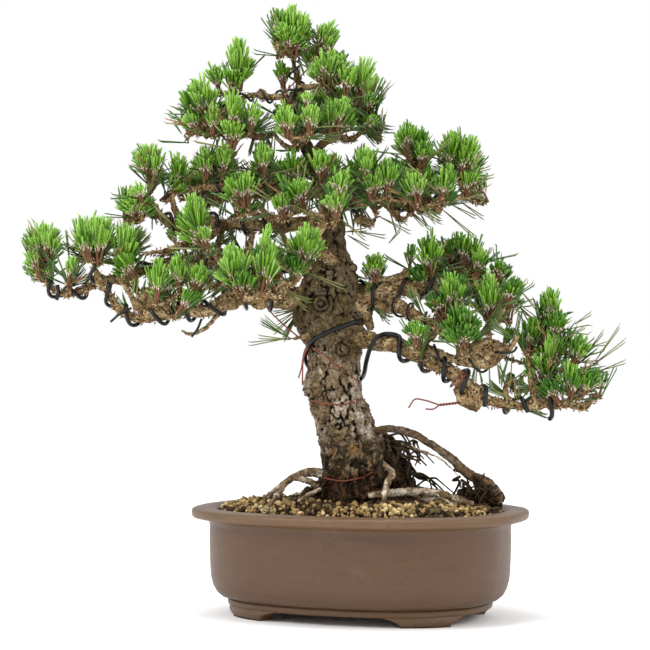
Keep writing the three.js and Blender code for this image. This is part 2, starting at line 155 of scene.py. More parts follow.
# Bare side twigs that show between the masses
SIDE_TWIGS = [
    [
        (-128, 313, -38, 4), (-144, 298, -42, 3.6), (-154, 287, -44, 3.4), (-168, 281, -46, 3),
        (-179, 285, -46, 2),
    ],
    [(6, 318, -12, 5), (14, 334, -10, 4.2), (30, 336, -8, 3.6), (48, 342, -8, 2.6)],
    [
        (62, 268, -48, 5.2), (91, 257, -54, 5), (111, 251, -56, 4.6), (127, 250, -56, 4.4),
        (140, 258, -56, 4.4), (152, 270, -58, 3.8), (160, 280, -60, 2),
    ],
    [(26, 413, 2, 5), (34, 403, -2, 4.4), (41, 394, -4, 3.4)],
    [(-44, 284, -22, 4.5), (-56, 278, -26, 3.2), (-77, 276, -30, 2.2)],
    [(96, 262, -50, 4), (108, 265, -50, 6), (120, 268, -50, 8.5), (134, 269, -50, 8), (146, 264, -52, 4)],
    [(176, 211, -50, 4.4), (172, 228, -52, 3.4), (170, 246, -52, 3), (168, 262, -52, 2.4)],
    [(148, 212, -52, 4.4), (146, 226, -54, 3.6), (150, 238, -54, 2.8)],
    [(62, 272, -44, 6), (70, 282, -42, 8), (78, 290, -40, 8), (88, 296, -40, 5)],
    [(34, 324, -14, 7), (44, 336, -12, 7.5), (49, 346, -10, 5)],
    [(-112, 357, 12, 5), (-110, 370, 6, 4.6), (-106, 384, 10, 4)],
    [(-140, 350, 10, 5), (-142, 366, 6, 4.5), (-138, 384, 8, 4)],
    [(-66, 352, 10, 5), (-72, 368, 8, 4), (-78, 386, 12, 3.4)],
    [(-56, 474, -8, 4.5), (-68, 466, -12, 3.6), (-79, 473, -12, 3), (-86, 483, -12, 2)],
    [(-178, 391, -4, 4.5), (-184, 405, -6, 4), (-187, 418, -8, 3.5), (-184, 428, -8, 2.5)],
    [(-205, 297, -46, 5), (-208, 318, -44, 4), (-208, 337, -42, 3.4)],
    [(-238, 334, -46, 4), (-228, 318, -48, 3.6), (-222, 304, -48, 3.4)],
    [(-84, 388, 14, 5), (-96, 404, 6, 4), (-104, 418, -6, 3)],
    [(-217, 298, -46, 4.5), (-218, 312, -46, 5), (-215, 328, -44, 3.6)],
    [(102, 257, -54, 4), (116, 257, -55, 6), (130, 258, -55, 6), (142, 260, -54, 4)],
    [(-112, 482, -4, 4), (-100, 478, -4, 5), (-86, 480, -4, 4)],
    [(-6, 396, 0, 4), (4, 394, -2, 6), (12, 390, -4, 4)],
    [(8, 313, -14, 5), (24, 308, -15, 5.5), (40, 304, -14, 5)],
]
ROOTS = {
    "root_arch_rise": [
        (-12, 166, -10, 9), (0, 176, -10, 6.4), (15, 184, -10, 5), (29, 186, -10, 4.6),
        (50, 182, -10, 4.5), (71, 171, -9, 4.4),
    ],
    "root_arch_fall": [
        (66, 174, -9.5, 4.3), (71.4, 170.8, -9, 4.4), (92, 156, -8, 5.2), (109, 141, -6, 5.8),
        (128, 131, -4, 6.8), (141, 112, -2, 8.4),
    ],
    "root_left": [
        (-24, 136, -12, 10), (-32, 138, -10, 7), (-46, 143, 4, 5.5), (-59, 141, 14, 4.8),
        (-76, 131, 24, 4.2), (-96, 116, 30, 3.6),
    ],
    "root_left_front": [
        (-28, 122, -20, 8), (-36, 126, -22, 5), (-52, 134, -24, 4.2), (-67, 137, -30, 4),
        (-80, 122, -50, 3.8), (-93, 106, -70, 3),
    ],
    "root_front": [
        (16, 152, -20, 8), (24, 150, -30, 4.6), (33, 141, -42, 4.2), (28, 133, -52, 4),
        (25, 118, -60, 3.8), (25, 106, -64, 3.2),
    ],
    "root_long_low": [
        (-10, 117, -34, 8), (0, 119, -40, 5), (25, 121, -46, 5), (50, 123, -46, 4.8), (82, 121, -44, 4.6),
        (114, 110, -40, 4),
    ],
}
# Ringed knots on the trunk's front: across, up, back, radius
KNOTS = [(-16, 266, -38, 7), (-39, 312, -36, 8), (-52, 220, -30, 6)]
# Thinner roots over the soil, from the foot of the trunk
THIN_ROOTS = [
    [(-38, 126, -30, 3.4), (-52, 120, -42, 3), (-62, 113, -52, 2.6)],
    [(-30, 130, 6, 4), (-54, 124, 20, 3.4), (-74, 112, 26, 2.8)],
    [(36, 173, -14, 2.4), (52, 168, -18, 2.2), (69, 160, -20, 1.8)],
    [(38, 168, -6, 2.2), (62, 164, -8, 2), (84, 154, -10, 1.7), (99, 139, -12, 1.4)],
    [(40, 160, -12, 2.4), (54, 156, -16, 2), (65, 153, -18, 1.3)],
    [(34, 140, 0, 3.2), (58, 128, 4, 2.8), (84, 122, 4, 2.4), (110, 112, 2, 2)],
    [(70, 124, -44, 2.4), (86, 115, -54, 2), (96, 108, -60, 1.6)],
    [(30, 118, -14, 4), (60, 116, -14, 3.6), (92, 114, -16, 3)],
]
# Tangles of thin roots: where they start and end, and how many
TANGLES = [
    ((26, 160, -10), (46, 118, -8), 12),
    ((30, 166, -12), (56, 116, -16), 8),
    ((36, 150, -8), (84, 116, -8), 7),
    ((30, 178, -12), (62, 152, -12), 7),
    ((56, 172, -10), (60, 150, -12), 3),
    ((-34, 134, -14), (-50, 114, -26), 3),
    ((104, 138, -6), (112, 114, -4), 5),
    ((116, 134, -8), (118, 112, -10), 9),
    ((124, 128, -8), (124, 112, -12), 9),
]
# Lumps of crumbly soil among the roots: across, up, back, radius
CRUMBS = [
    (-50, 120, 2, 9), (-63, 113, 10, 8), (-76, 108, 16, 6), (34, 142, -2, 12), (44, 128, 0, 13),
    (53, 117, 4, 11), (96, 113, -2, 8), (104, 121, -4, 8), (117, 117, -4, 9), (128, 116, -6, 9),
    (137, 111, -4, 7), (27, 174, -2, 8), (34, 164, 0, 9), (40, 154, 0, 8), (48, 146, 2, 6),
]
# Knobs on the wood: across, up, back, radius
KNOBS = {
    "bough_low_right": [
        (106, 217, -54, 10), (116, 209, -55, 6.5), (100, 224, -56, 7), (111, 211, -50, 7),
        (122, 223, -52, 7),
    ],
    "bough_mid_right": [(38, 404, -2, 5), (60, 404, -4, 5), (70, 410, 0, 6)],
    "bough_right": [
        (4, 302, -10, 10), (52, 322, -18, 7), (24, 326, -14, 7), (8, 296, -16, 7), (11, 289, -16, 5),
    ],
    "bough_low_left": [
        (-128, 313, -40, 9), (-176, 306, -46, 7), (-238, 306, -46, 6), (-100, 314, -26, 10),
        (-210, 300, -46, 9), (-200, 306, -46, 8),
    ],
    "bough_far_left": [(-214, 345, 2, 7), (-258, 336, -14, 6), (-282, 324, -18, 5)],
    "bough_mid_left": [(-146, 392, 8, 8), (-178, 392, -4, 6)],
    "bough_top_left": [(-98, 522, -5, 5), (-66, 508, -2, 7)],
}
# Limbs that carry wires, and the windings on them: limb, first and last share of its length, turns, phase
# and kind of wire
WOUND = {**BOUGHS, "trunk": TRUNK, "side_twig": SIDE_TWIGS[2]}
WINDINGS = [
    ("bough_low_right", 0.66, 0.74, 1.0, 1.8, "heavy"),
    ("bough_right", 0.20, 0.85, -3.6, -2.4, "medium"),
    ("bough_mid_right", 0.12, 0.90, 4.0, 0.6, "medium"),
    ("bough_low_left", 0.16, 0.98, 8.0, 2.2, "medium"),
    ("bough_far_left", 0.22, 0.96, 8.5, 0.4, "medium"),
    ("bough_mid_left", 0.20, 0.95, 6.0, 1.4, "medium"),
    ("bough_second_left", 0.10, 0.90, 5.0, 0.2, "light"),
    ("bough_top_left", 0.10, 0.85, 3.5, 0.8, "light"),
    ("trunk", 0.875, 0.985, 2.5, 0.8, "light"),
    ("bough_right_fork", 0.15, 0.90, 3.0, 0.4, "light"),
    ("side_twig", 0.10, 0.90, 2.5, 0.4, "light"),
    ("bough_back_low", 0.20, 0.90, 3.5, 0.4, "medium"),
    ("bough_back_right", 0.20, 0.90, 3.0, 0.4, "medium"),
]
# The wire that crosses the trunk: height and degrees round it at the start, across and up in front, height
# and degrees round it behind, and across, up and back on the way to the lowest bough
CROSSING_START = [(293, 150), (293, 120)]
CROSSING_FRONT = [(-1, 294), (-7, 292), (-16, 289), (-27, 285), (-37, 280), (-46, 275), (-50, 270)]
CROSSING_BEHIND = [(256, -100), (247, -122), (240, -150), (236, -192), (234, -235)]
CROSSING_RISE = [
    (2, 237, 2), (5, 243, -14), (7, 254, -32), (11, 267, -42), (17, 277, -46), (26, 281, -38),
]
# Free ends of the wires: kind of wire and places
HOOKS = [
    ("medium", [(-302, 330, -26), (-301, 322, -27), (-303, 315, -27)]),
    ("light", [(-228, 307, -52), (-234, 304, -54), (-241, 300, -55), (-249, 293, -55)]),
    ("light", [(-158, 296, -46), (-162, 286, -48), (-168, 278, -49)]),
    ("heavy", [(190, 222, -56), (191, 212, -58), (192, 198, -57), (190, 196, -54)]),
    ("copper", [(-51, 270, -24), (-56, 259, -22), (-58, 247, -20), (-61, 237, -19)]),
    ("copper", [(-50, 270, -25), (-55, 260, -23), (-57, 240, -20), (-57, 230, -19)]),
    ("copper", [(49, 207, -56), (56, 216, -57), (64, 215, -58), (80, 210, -59)]),
    ("copper", [(66, 206, -58), (74, 206, -59), (80, 210, -59)]),
    ("copper", [(-70, 530, -14), (-76, 512, -16), (-83, 490, -18)]),
]
# Copper ties: a slanting one on its way from a bough and over the trunk, a ring round the trunk, as across
# and up in front and as height and degrees behind, and a low one
SLANTING_AWAY = [(-100, 316, -30), (-84, 298, -24), (-66, 282, -20)]
SLANTING = [(-49, 269), (-40, 263), (-32, 257), (-24, 250), (-15, 244), (-6, 237), (-1, 232)]
RING_FRONT = [(1, 215), (-3, 214), (-9, 212), (-18, 210), (-28, 211), (-38, 212), (-46, 214)]
RING_BEHIND = [(216, -105), (217, -140), (218, 180), (217, 140), (215, 105)]
LOW_TIE = [(-36, 137), (-26, 135), (-14, 134), (-4, 136), (6, 139), (13, 143)]

# The tufts that the front view shows, in millimetres: foot across and up, tip across and up, half width
FRONT_TUFTS = [
    (-67, 558, -65, 611, 20), (-40, 558, -28, 594, 14), (-32, 530, -24, 567, 19), (-15, 517, -12, 553, 13),
    (-2, 511, 10, 556, 16), (4, 502, 10, 524, 16), (6, 485, 16, 502, 9), (-121, 527, -122, 574, 16),
    (-140, 523, -148, 552, 12), (-152, 493, -160, 536, 19), (-160, 482, -174, 503, 12),
    (-128, 483, -124, 523, 15), (-110, 481, -104, 512, 10), (-72, 479, -75, 512, 14),
    (-50, 480, -47, 512, 13), (-53, 507, -53, 524, 8), (-76, 527, -78, 553, 11), (-30, 477, -25, 515, 15),
    (-146, 480, -146, 510, 10), (-22, 488, -17, 520, 14), (-208, 433, -209, 471, 19),
    (-222, 393, -236, 420, 15), (-218, 412, -224, 434, 12), (-182, 425, -182, 461, 13),
    (-154, 433, -155, 468, 12), (-136, 435, -134, 473, 13), (-113, 408, -114, 446, 14),
    (-94, 437, -95, 473, 12), (-66, 428, -67, 464, 17), (-76, 398, -80, 422, 11), (-38, 432, -40, 467, 13),
    (-22, 415, -15, 446, 13), (6, 432, 6, 471, 12), (12, 415, 15, 445, 17), (-24, 398, -25, 425, 14),
    (28, 418, 30, 457, 13), (48, 462, 47, 493, 13), (61, 445, 64, 476, 15), (90, 443, 91, 485, 17),
    (102, 435, 114, 477, 16), (80, 415, 90, 437, 11), (58, 409, 52, 447, 17), (85, 415, 87, 452, 14),
    (108, 420, 112, 450, 15), (-160, 373, -166, 421, 13), (-152, 363, -156, 389, 10),
    (-313, 353, -315, 392, 20), (-322, 343, -332, 363, 10), (-308, 330, -312, 352, 8),
    (-291, 331, -286, 359, 9), (-262, 353, -262, 404, 19), (-272, 357, -280, 390, 12),
    (-238, 340, -233, 396, 17), (-203, 313, -200, 356, 11), (-180, 322, -182, 361, 11),
    (-164, 321, -160, 353, 12), (-124, 327, -127, 369, 17), (-98, 325, -90, 372, 16),
    (-57, 347, -54, 388, 20), (-184, 372, -190, 387, 8), (16, 332, 16, 363, 15), (72, 337, 67, 383, 17),
    (102, 347, 103, 387, 14), (117, 337, 124, 368, 11), (136, 333, 140, 356, 11), (146, 309, 159, 339, 11),
    (95, 300, 92, 343, 16), (130, 297, 129, 339, 16), (103, 270, 101, 312, 22), (56, 270, 51, 295, 12),
    (170, 263, 174, 299, 15), (193, 294, 191, 327, 13), (196, 273, 200, 306, 14), (190, 241, 196, 285, 16),
    (212, 247, 224, 279, 13), (183, 227, 180, 263, 21), (223, 218, 238, 247, 13), (152, 227, 151, 243, 7),
    (210, 217, 212, 253, 14), (-99, 354, -90, 391, 7), (170, 250, 164, 284, 12), (50, 345, 52, 370, 8),
    (142, 262, 152, 290, 9),
]
# How many times as wide the front view's tufts are taken, and from how far above their feet as a share of
# their height, where seeded tufts may fill in around them
AROUND_TUFTS = (1.5, -0.8)
# Masses that carry only what the front view shows
BARE_MASSES = ("foliage_stem_left", "foliage_low_left_under")
# Heights between which the light on the tufts grows
TUFTS_LOW = 217
TUFTS_HIGH = 613
# The greens of new needles from the shade to the light, and the amounts of light between them
SHADES = ("needle_deep", "needle_mid", "needle_bright", "needle_light")
SHADE_STEPS = (0.0, 0.28, 0.55)
# The tints of last year's needles under a tuft, and how many are of each
OLD_TINTS = {"needle_old": 0.74, "needle_olive": 0.20, "needle_dry": 0.06}
# The colours of the grit, from the commonest
GRIT_TINTS = ("grit_tan", "grit_pale", "grit_brown", "grit_moss")
# Long old needles that stand out against the background: root across and up, tip across and up
STRAY_NEEDLES = [
    (-13, 382, 13, 387), (-11, 379, 11, 367), (27, 372, 42, 387), (47, 406, 68, 387), (48, 406, 76, 382),
    (52, 408, 83, 392), (85, 408, 121, 375), (99, 415, 128, 396), (92, 411, 118, 398),
    (101, 422, 128, 417), (111, 439, 135, 449), (116, 435, 138, 441), (-57, 344, -8, 325),
    (-77, 327, -48, 302), (-77, 326, -47, 312), (-77, 325, -46, 314), (225, 260, 244, 284),
    (234, 255, 261, 290), (228, 249, 266, 277), (230, 267, 250, 274), (240, 243, 268, 254),
    (214, 293, 235, 306), (162, 323, 180, 303), (-58, 525, -26, 494), (-75, 275, -117, 270),
    (-74, 276, -107, 280), (-2, 382, 28, 378), (20, 400, 52, 384), (-20, 396, 8, 376),
]
# Fans of last year's needles: root across and up, tip across and up, half width at the tips, pairs
OLD_FANS = [
    (112, 269, 148, 309, 10, 6), (153, 275, 128, 290, 9, 5), (152, 263, 146, 229, 6, 3),
    (130, 253, 131, 229, 3, 3), (152, 217, 128, 234, 8, 5), (162, 213, 186, 230, 9, 6),
    (167, 208, 190, 201, 4, 3), (180, 222, 160, 240, 8, 4), (-146, 367, -124, 383, 8, 5),
    (-120, 365, -138, 383, 8, 5), (-75, 363, -100, 368, 9, 5), (-70, 366, -86, 385, 7, 5),
    (-56, 475, -82, 489, 9, 6), (-52, 477, -18, 478, 4, 4), (-56, 475, -74, 498, 8, 5),
    (-105, 483, -84, 497, 8, 6), (-9, 499, 8, 482, 6, 4), (-9, 499, 22, 470, 6, 4),
    (-8, 500, 34, 484, 3, 3), (-178, 387, -196, 397, 4, 3), (-230, 365, -211, 386, 6, 4),
    (-224, 312, -220, 338, 6, 4), (-230, 305, -240, 322, 5, 3), (-70, 277, -98, 297, 6, 3),
    (14, 305, 33, 295, 7, 4), (64, 300, 50, 330, 8, 4), (70, 284, 90, 310, 10, 5),
    (-12, 388, -24, 402, 9, 4), (-150, 318, -136, 338, 9, 5), (-100, 487, -97, 461, 13, 6),
    (-86, 486, -90, 463, 10, 5), (0, 408, 6, 384, 12, 6), (-8, 405, 0, 388, 8, 5),
    (30, 408, 46, 390, 10, 4), (60, 408, 76, 390, 10, 4), (-205, 410, -197, 391, 10, 5),
    (-134, 420, -134, 399, 7, 5), (-92, 424, -92, 405, 8, 5), (-48, 422, -48, 403, 7, 4),
    (-110, 389, -106, 370, 9, 4), (-124, 388, -126, 370, 6, 3), (118, 252, 120, 231, 8, 5),
    (138, 252, 142, 231, 8, 5), (158, 238, 161, 217, 9, 6), (160, 304, 160, 270, 6, 4),
    (-60, 563, -54, 541, 7, 4), (-64, 306, -86, 300, 8, 4), (-64, 300, -80, 278, 8, 4),
    (-292, 326, -272, 342, 5, 4), (18, 306, 26, 296, 6, 3),
]
# Studio lights: place in metres and watts
LIGHTS = {
    "left": ((-1.7, -1.1, 1.5), 30),
    "right": ((1.8, -1.0, 1.2), 16),
    "top": ((-0.1, -0.1, 2.3), 32),
}
LIGHTS_AIM = (0, 0, 0.3)


def seen(across, up, back):
    """A place of the front view, in millimetres, as a point of the frame in metres."""
    flat = POT_MIDDLE + np.array((across * MM, 0.0, up * MM))
    return EYE + (flat - EYE) * (1 + back * MM / EYE_BACK)


def shown_at(points):
    """Across and up in the front view, in millimetres, of points of the frame along the last axis."""
    flat = EYE + (points - EYE) * (EYE_BACK / (points[..., 1:2] - EYE[1])) - POT_MIDDLE
    return flat[..., [0, 2]] / MM


def unit(vectors):
    """Vectors of length one, along the last axis."""
    return vectors / np.maximum(np.linalg.norm(vectors, axis=-1, keepdims=True), 1e-12)


def around(first, second, angles):
    """Directions at these angles from the first of two directions toward the second."""
    return np.cos(angles) * first + np.sin(angles) * second


def smooth_route(points, step):
    """Points about a step apart on a smooth curve through rows of x, y, z and any further columns."""
    points = np.asarray(points, float)
    chords = np.linalg.norm(np.diff(points[:, :3], axis=0), axis=1)
    knots = np.concatenate(((0.0,), np.cumsum(chords)))
    slopes = np.gradient(points, knots, axis=0)
    at = np.linspace(0, knots[-1], max(3, round(knots[-1] / step) + 1))
    first = np.clip(np.searchsorted(knots, at, side="right") - 1, 0, len(chords) - 1)
    span = chords[first][:, None]
    t = ((at - knots[first]) / chords[first])[:, None]
    start, end = points[first], points[first + 1]
    return (
        (2 * t**3 - 3 * t**2 + 1) * start
        + (t**3 - 2 * t**2 + t) * span * slopes[first]
        + (3 * t**2 - 2 * t**3) * end
        + (t**3 - t**2) * span * slopes[first + 1]
    )


def limb_route(stations, step):
    """The smooth centre line and radius of a limb that is given by its stations."""
    rows = [(*seen(across, up, back), radius * MM) for across, up, back, radius in stations]
    return smooth_route(rows, step)


def turning_frames(centres):
    """Unit tangents, normals and binormals along a line of points, with no twist from one to the next."""
    tangents = unit(np.gradient(centres, axis=0))
    normals = np.empty_like(tangents)
    spare = BACK if abs(tangents[0, 1]) < 0.9 else UP
    normal = unit(np.cross(tangents[0], spare))
    for i, tangent in enumerate(tangents):
        normal = unit(normal - tangent * (normal @ tangent))
        normals[i] = normal
    return tangents, normals, np.cross(tangents, normals)


# Sizes and colours that a user would change


def length(name, description, default):
    """A size in metres."""
    return FloatProperty(name=name, description=description, default=default, unit="LENGTH")


def whole_number(name, description, default):
    """A count, or a seed."""
    return IntProperty(name=name, description=description, default=default)


def colour(name, description, value):
    """A colour property in display values."""
    return FloatVectorProperty(
        name=name, description=description, default=value, size=3, min=0, max=1, subtype="COLOR_GAMMA"
    )


class PotSizes(bpy.types.PropertyGroup):
    """Sizes of the oval pot, which is drawn by a rounded power curve."""

    half_length: length("Rim half length", "Half of the rim, end to end", 0.169)
    half_width: length("Rim half width", "Half of the rim, front to back", 0.131)
    power: FloatProperty(name="Oval power", description="2 is an ellipse, more is squarer", default=2.35)
    turn: FloatProperty(
        name="Turn", description="Turn of the pot by the tree", default=math.radians(-22), unit="ROTATION"
    )
    height: length("Height", "From the ground to the rim", pot_high.z)
    foot_height: length("Foot height", "From the ground to the body", pot_low.z)
    lip_height: length("Lip height", "Height of the rim's outer face", 0.0098)
    overhang: length("Lip overhang", "How far the lip stands out", 0.017)
    rim_width: length("Rim width", "Width of the rim's flat top", 0.020)
    wall: length("Wall", "Thickness of the wall", 0.008)
    band_inset: length("Band inset", "How far the base band lies inside the lip", 0.036)
    band_height: length("Band height", "Height of the base band", 0.007)
    foot_span: length("Foot half span", "Half of a foot's length on the ground", 0.028)
    foot_flare: length("Foot flare", "How far a foot spreads to its top", 0.021)
    foot_thickness: length("Foot thickness", "Thickness of a foot", 0.017)
    sides: whole_number("Sides", "Points round the oval", 144)


class SoilSizes(bpy.types.PropertyGroup):
    """Sizes of the mound of grit in the pot."""

    top: length("Top", "Height of the mound's flat top", 0.1155)
    edge: length("Edge", "Height at the pot's wall", 0.1035)
    slope: length("Slope", "Width of the slope to the wall", 0.052)
    grain: length("Grain", "Mean width of a grain of grit", 0.0043)


class BarkSizes(bpy.types.PropertyGroup):
    """Sizes of the bark's relief."""

    plate: length("Plate", "Width of the trunk's bark plates", 0.0185)
    fissure: length("Fissure", "Depth of the trunk's fissures", 0.0042)
    scale: length("Scale", "Width of the boughs' bark scales", 0.0058)
    scale_depth: length("Scale depth", "Depth between the scales", 0.0013)
    trunk_mesh: length("Trunk mesh", "Edge of the trunk's mesh", 0.00135)
    bough_mesh: length("Bough mesh", "Edge of the boughs' mesh", 0.0013)


class NeedleSizes(bpy.types.PropertyGroup):
    """Sizes and counts of the tufts of needles."""

    spacing: length("Tuft spacing", "Least distance between tufts", 0.024)
    reach: length("Reach", "From a tuft's foot to its tips", 0.046)
    least_reach: length("Least reach", "The same in a thin part of the crown", 0.031)
    half_width: length("Half width", "Half of a tuft's width", 0.017)
    bunch: length("Bunch", "Half width of one candle's needles", 0.0088)
    old_length: length("Old needle", "Length of last year's needles", 0.034)
    width: length("Width", "Width of a needle", 0.0017)
    candles: whole_number("Candles", "Candles in a tuft of middling width", 6)
    pairs: whole_number("Pairs", "Pairs of new needles on a candle", 8)
    old_pairs: whole_number("Old pairs", "Pairs of old needles under a tuft", 11)
    seed: whole_number("Seed", "Seed of every random draw", 11)


class WireSizes(bpy.types.PropertyGroup):
    """Thickness of the training wires."""

    heavy: length("Heavy", "Diameter of the trunk wire", 0.0046)
    medium: length("Medium", "Diameter of the bough wires", 0.0038)
    light: length("Light", "Diameter of the twig wires", 0.0024)
    copper: length("Copper", "Diameter of the copper ties", 0.0015)


class Colours(bpy.types.PropertyGroup):
    """Base colours of every finish."""

    clay: colour("Clay", "Body of the pot", (0.310, 0.205, 0.115))
    clay_rim: colour("Rim clay", "Rim of the pot, more olive", (0.365, 0.265, 0.165))
    clay_bloom: colour("Bloom", "Pale bloom on the clay", (0.46, 0.38, 0.32))
    plate: colour("Bark plate", "Grey tan plates of the trunk", (0.645, 0.58, 0.485))
    plate_pale: colour("Pale plate", "Paler, pinkish plates", (0.83, 0.77, 0.70))
    plate_warm: colour("Warm plate", "Warmer, darker plates", (0.49, 0.415, 0.31))
    upper_bark: colour("Upper bark", "Darker bark of the upper trunk", (0.355, 0.30, 0.19))
    # The fissure, bough crack and root crack colours darken the bark where its relief lies low: partly the
    # darker bark in its cracks, partly painted shade there and at the foot of each flake's ledge
    fissure: colour("Fissure", "Between the plates", (0.115, 0.085, 0.055))
    foot_bark: colour("Foot bark", "Crumbly red brown foot of the trunk", (0.34, 0.24, 0.16))
    ochre: colour("Ochre", "Ochre patches low on the trunk", (0.56, 0.40, 0.19))
    bough: colour("Bough", "Flakes of the boughs", (0.70, 0.60, 0.44))
    bough_pale: colour("Pale bough", "Paler flakes of the boughs", (0.78, 0.69, 0.53))
    bough_warm: colour("Warm bough", "Browner flakes of the boughs", (0.56, 0.455, 0.31))
    bough_dark: colour("Bough cracks", "Between the flakes of the boughs", (0.25, 0.19, 0.12))
    root: colour("Root", "Skin of the roots", (0.62, 0.54, 0.43))
    root_pale: colour("Pale root", "Ridges of the roots", (0.92, 0.87, 0.78))
    root_warm: colour("Warm root", "Browner skin of the roots", (0.46, 0.37, 0.27))
    arch: colour("Arch", "Skin of the arching root", (0.38, 0.31, 0.24))
    arch_pale: colour("Pale arch", "Ridges of the arching root", (0.56, 0.50, 0.43))
    crumb: colour("Crumbs", "Dark crumbly soil held by the roots", (0.16, 0.12, 0.08))
    crumb_pale: colour("Pale crumbs", "Paler crumbs", (0.30, 0.22, 0.15))
    root_dark: colour("Root cracks", "Hollows of the roots", (0.11, 0.085, 0.06))
    fine_root: colour("Fine root", "Thin tangled roots", (0.20, 0.15, 0.10))
    bud: colour("Candle", "Reddish brown candles", (0.40, 0.275, 0.175))
    sheath: colour("Sheath", "Papery foot of each pair of needles", (0.76, 0.69, 0.60))
    # The four greens of new needles are one green painted in light and shade: each needle takes the one that
    # the light on its part of the crown picks
    needle_light: colour("Light needle", "Lit new needles", (0.50, 0.67, 0.25))
    needle_bright: colour("Bright needle", "New needles", (0.39, 0.575, 0.12))
    needle_mid: colour("Middle needle", "New needles deeper in the crown", (0.31, 0.495, 0.08))
    needle_deep: colour("Deep needle", "New needles in the shade", (0.21, 0.40, 0.06))
    needle_old: colour("Old needle", "Dark needles of last year", (0.27, 0.39, 0.16))
    needle_olive: colour("Olive needle", "Old needles that fade", (0.47, 0.48, 0.27))
    needle_dry: colour("Dry needle", "Old needles that have dried", (0.58, 0.44, 0.27))
    grit_tan: colour("Tan grit", "Most grains", (0.575, 0.475, 0.30))
    grit_pale: colour("Pale grit", "Light grains", (0.76, 0.67, 0.48))
    grit_brown: colour("Brown grit", "Dark grains", (0.25, 0.18, 0.115))
    grit_moss: colour("Mossy grit", "Greenish grains", (0.37, 0.33, 0.19))
    # The soil under the grit is nearly black so that the gaps between the grains read dark: partly dark
    # soil, partly painted shade
    soil: colour("Soil", "Soil under the grit", (0.06, 0.045, 0.032))
    wire: colour("Wire", "Anodised wire", (0.06, 0.06, 0.063))
    copper: colour("Copper", "Old copper wire", (0.46, 0.22, 0.16))
    heartwood: colour("Cut wood", "Face of a healed cut", (0.42, 0.39, 0.26))


GROUPS = {
    "bonsai_pot": PotSizes,
    "bonsai_soil": SoilSizes,
    "bonsai_bark": BarkSizes,
    "bonsai_needles": NeedleSizes,
    "bonsai_wires": WireSizes,
    "bonsai_colours": Colours,
}


def sizes(group):
    """A group of the scene's settings, by its short name."""
    return getattr(bpy.context.scene, "bonsai_" + group)


def draws(number):
    """A generator of random draws, by the seed of the settings and a number for each use."""
    return np.random.default_rng(sizes("needles").seed + number)


def paint(name):
    """A named colour as the linear values that a shader takes."""
    shown = np.array(getattr(sizes("colours"), name))
    linear = np.where(shown <= 0.04045, shown / 12.92, ((shown + 0.055) / 1.055) ** 2.4)
    return (*linear.tolist(), 1.0)


# Node trees


class Graph:
    """A node tree that is written as calls, each of which adds a node and joins its inputs."""

    def __init__(self, tree):
        self.tree = tree
        tree.nodes.clear()

    def __call__(self, kind, inputs=None, **settings):
        node = self.tree.nodes.new(kind)
        for name, value in settings.items():
            setattr(node, name, value)
        for name, value in (inputs or {}).items():
            if isinstance(value, bpy.types.NodeSocket):
                self.tree.links.new(value, node.inputs[name])
            else:
                node.inputs[name].default_value = value
        return node

    def math(self, operation, *values):
        """A value from an arithmetic node."""
        return self("ShaderNodeMath", dict(enumerate(values)), operation=operation).outputs[0]

    def times(self, first, second):
        """The product of two values."""
        return self("ShaderNodeMath", {0: first, 1: second}, operation="MULTIPLY").outputs[0]

    def vector(self, operation, *values, output="Vector", **named):
        """An output of a vector node."""
        inputs = {**dict(enumerate(values)), **named}
        return self("ShaderNodeVectorMath", inputs, operation=operation).outputs[output]

    def ease(self, value, low, high):
        """0 at low and 1 at high, with a smooth step between."""
        inputs = {"Value": value, "From Min": low, "From Max": high}
        return self("ShaderNodeMapRange", inputs, interpolation_type="SMOOTHSTEP").outputs["Result"]

    def mix(self, share, first, second):
        """The first colour where the share is 0, the second where it is 1."""
        inputs = {0: share, 6: first, 7: second}
        return self("ShaderNodeMix", inputs, data_type="RGBA").outputs[2]

    def noise(self, place, size, detail=3.0, rough=0.55, output="Fac"):
        """A cloudy noise with features of this size."""
        inputs = {"Vector": place, "Scale": 1 / size, "Detail": detail, "Roughness": rough}
        return self("ShaderNodeTexNoise", inputs).outputs[output]

    def cells(self, place, size, feature="F1", output="Distance"):
        """A pattern of cells of this size."""
        inputs = {"Vector": place, "Scale": 1 / size}
        return self("ShaderNodeTexVoronoi", inputs, feature=feature).outputs[output]

    def winding(self, place, size, detail, rough=0.55):
        """How far a noise is from its middle value, which it has along winding lines."""
        return self.math("ABSOLUTE", self.math("SUBTRACT", self.noise(place, size, detail, rough), 0.5))

    def read(self, attribute):
        """A value that the relief stored on the mesh."""
        return self("ShaderNodeAttribute", attribute_name=attribute).outputs["Fac"]

    def rest(self, share):
        """What a share leaves of 1."""
        return self.math("SUBTRACT", 1.0, share)

    def total(self, *parts):
        """The sum of values times their weights, given as pairs."""
        amount = 0.0
        for value, weight in parts:
            amount = self.math("MULTIPLY_ADD", value, weight, amount)
        return amount

    def coat(self, body, share, strength, second):
        """A body colour with so much of a second colour, a socket or a setting's name, where share is 1."""
        coating = paint(second) if isinstance(second, str) else second
        return self.mix(self.times(share, strength), body, coating)


def finish_of(name, draw, roughness=0.7, specular=0.4, bump=None, **constants):
    """A material whose colour, roughness and height come from draw(graph, place)."""
    material = bpy.data.materials.new(name)
    material.use_nodes = True
    graph = Graph(material.node_tree)
    place = graph("ShaderNodeTexCoord").outputs["Object"]
    drawn = draw(graph, place)
    inputs = {"Roughness": roughness, "Specular IOR Level": specular, **constants}
    inputs["Base Color"] = drawn["colour"]
    if "roughness" in drawn:
        inputs["Roughness"] = drawn["roughness"]
    if "height" in drawn:
        relief = {"Strength": 1.0, "Distance": bump, "Height": drawn["height"]}
        inputs["Normal"] = graph("ShaderNodeBump", relief).outputs["Normal"]
    shader = graph("ShaderNodeBsdfPrincipled", inputs)
    graph("ShaderNodeOutputMaterial", {"Surface": shader.outputs["BSDF"]})
    return material


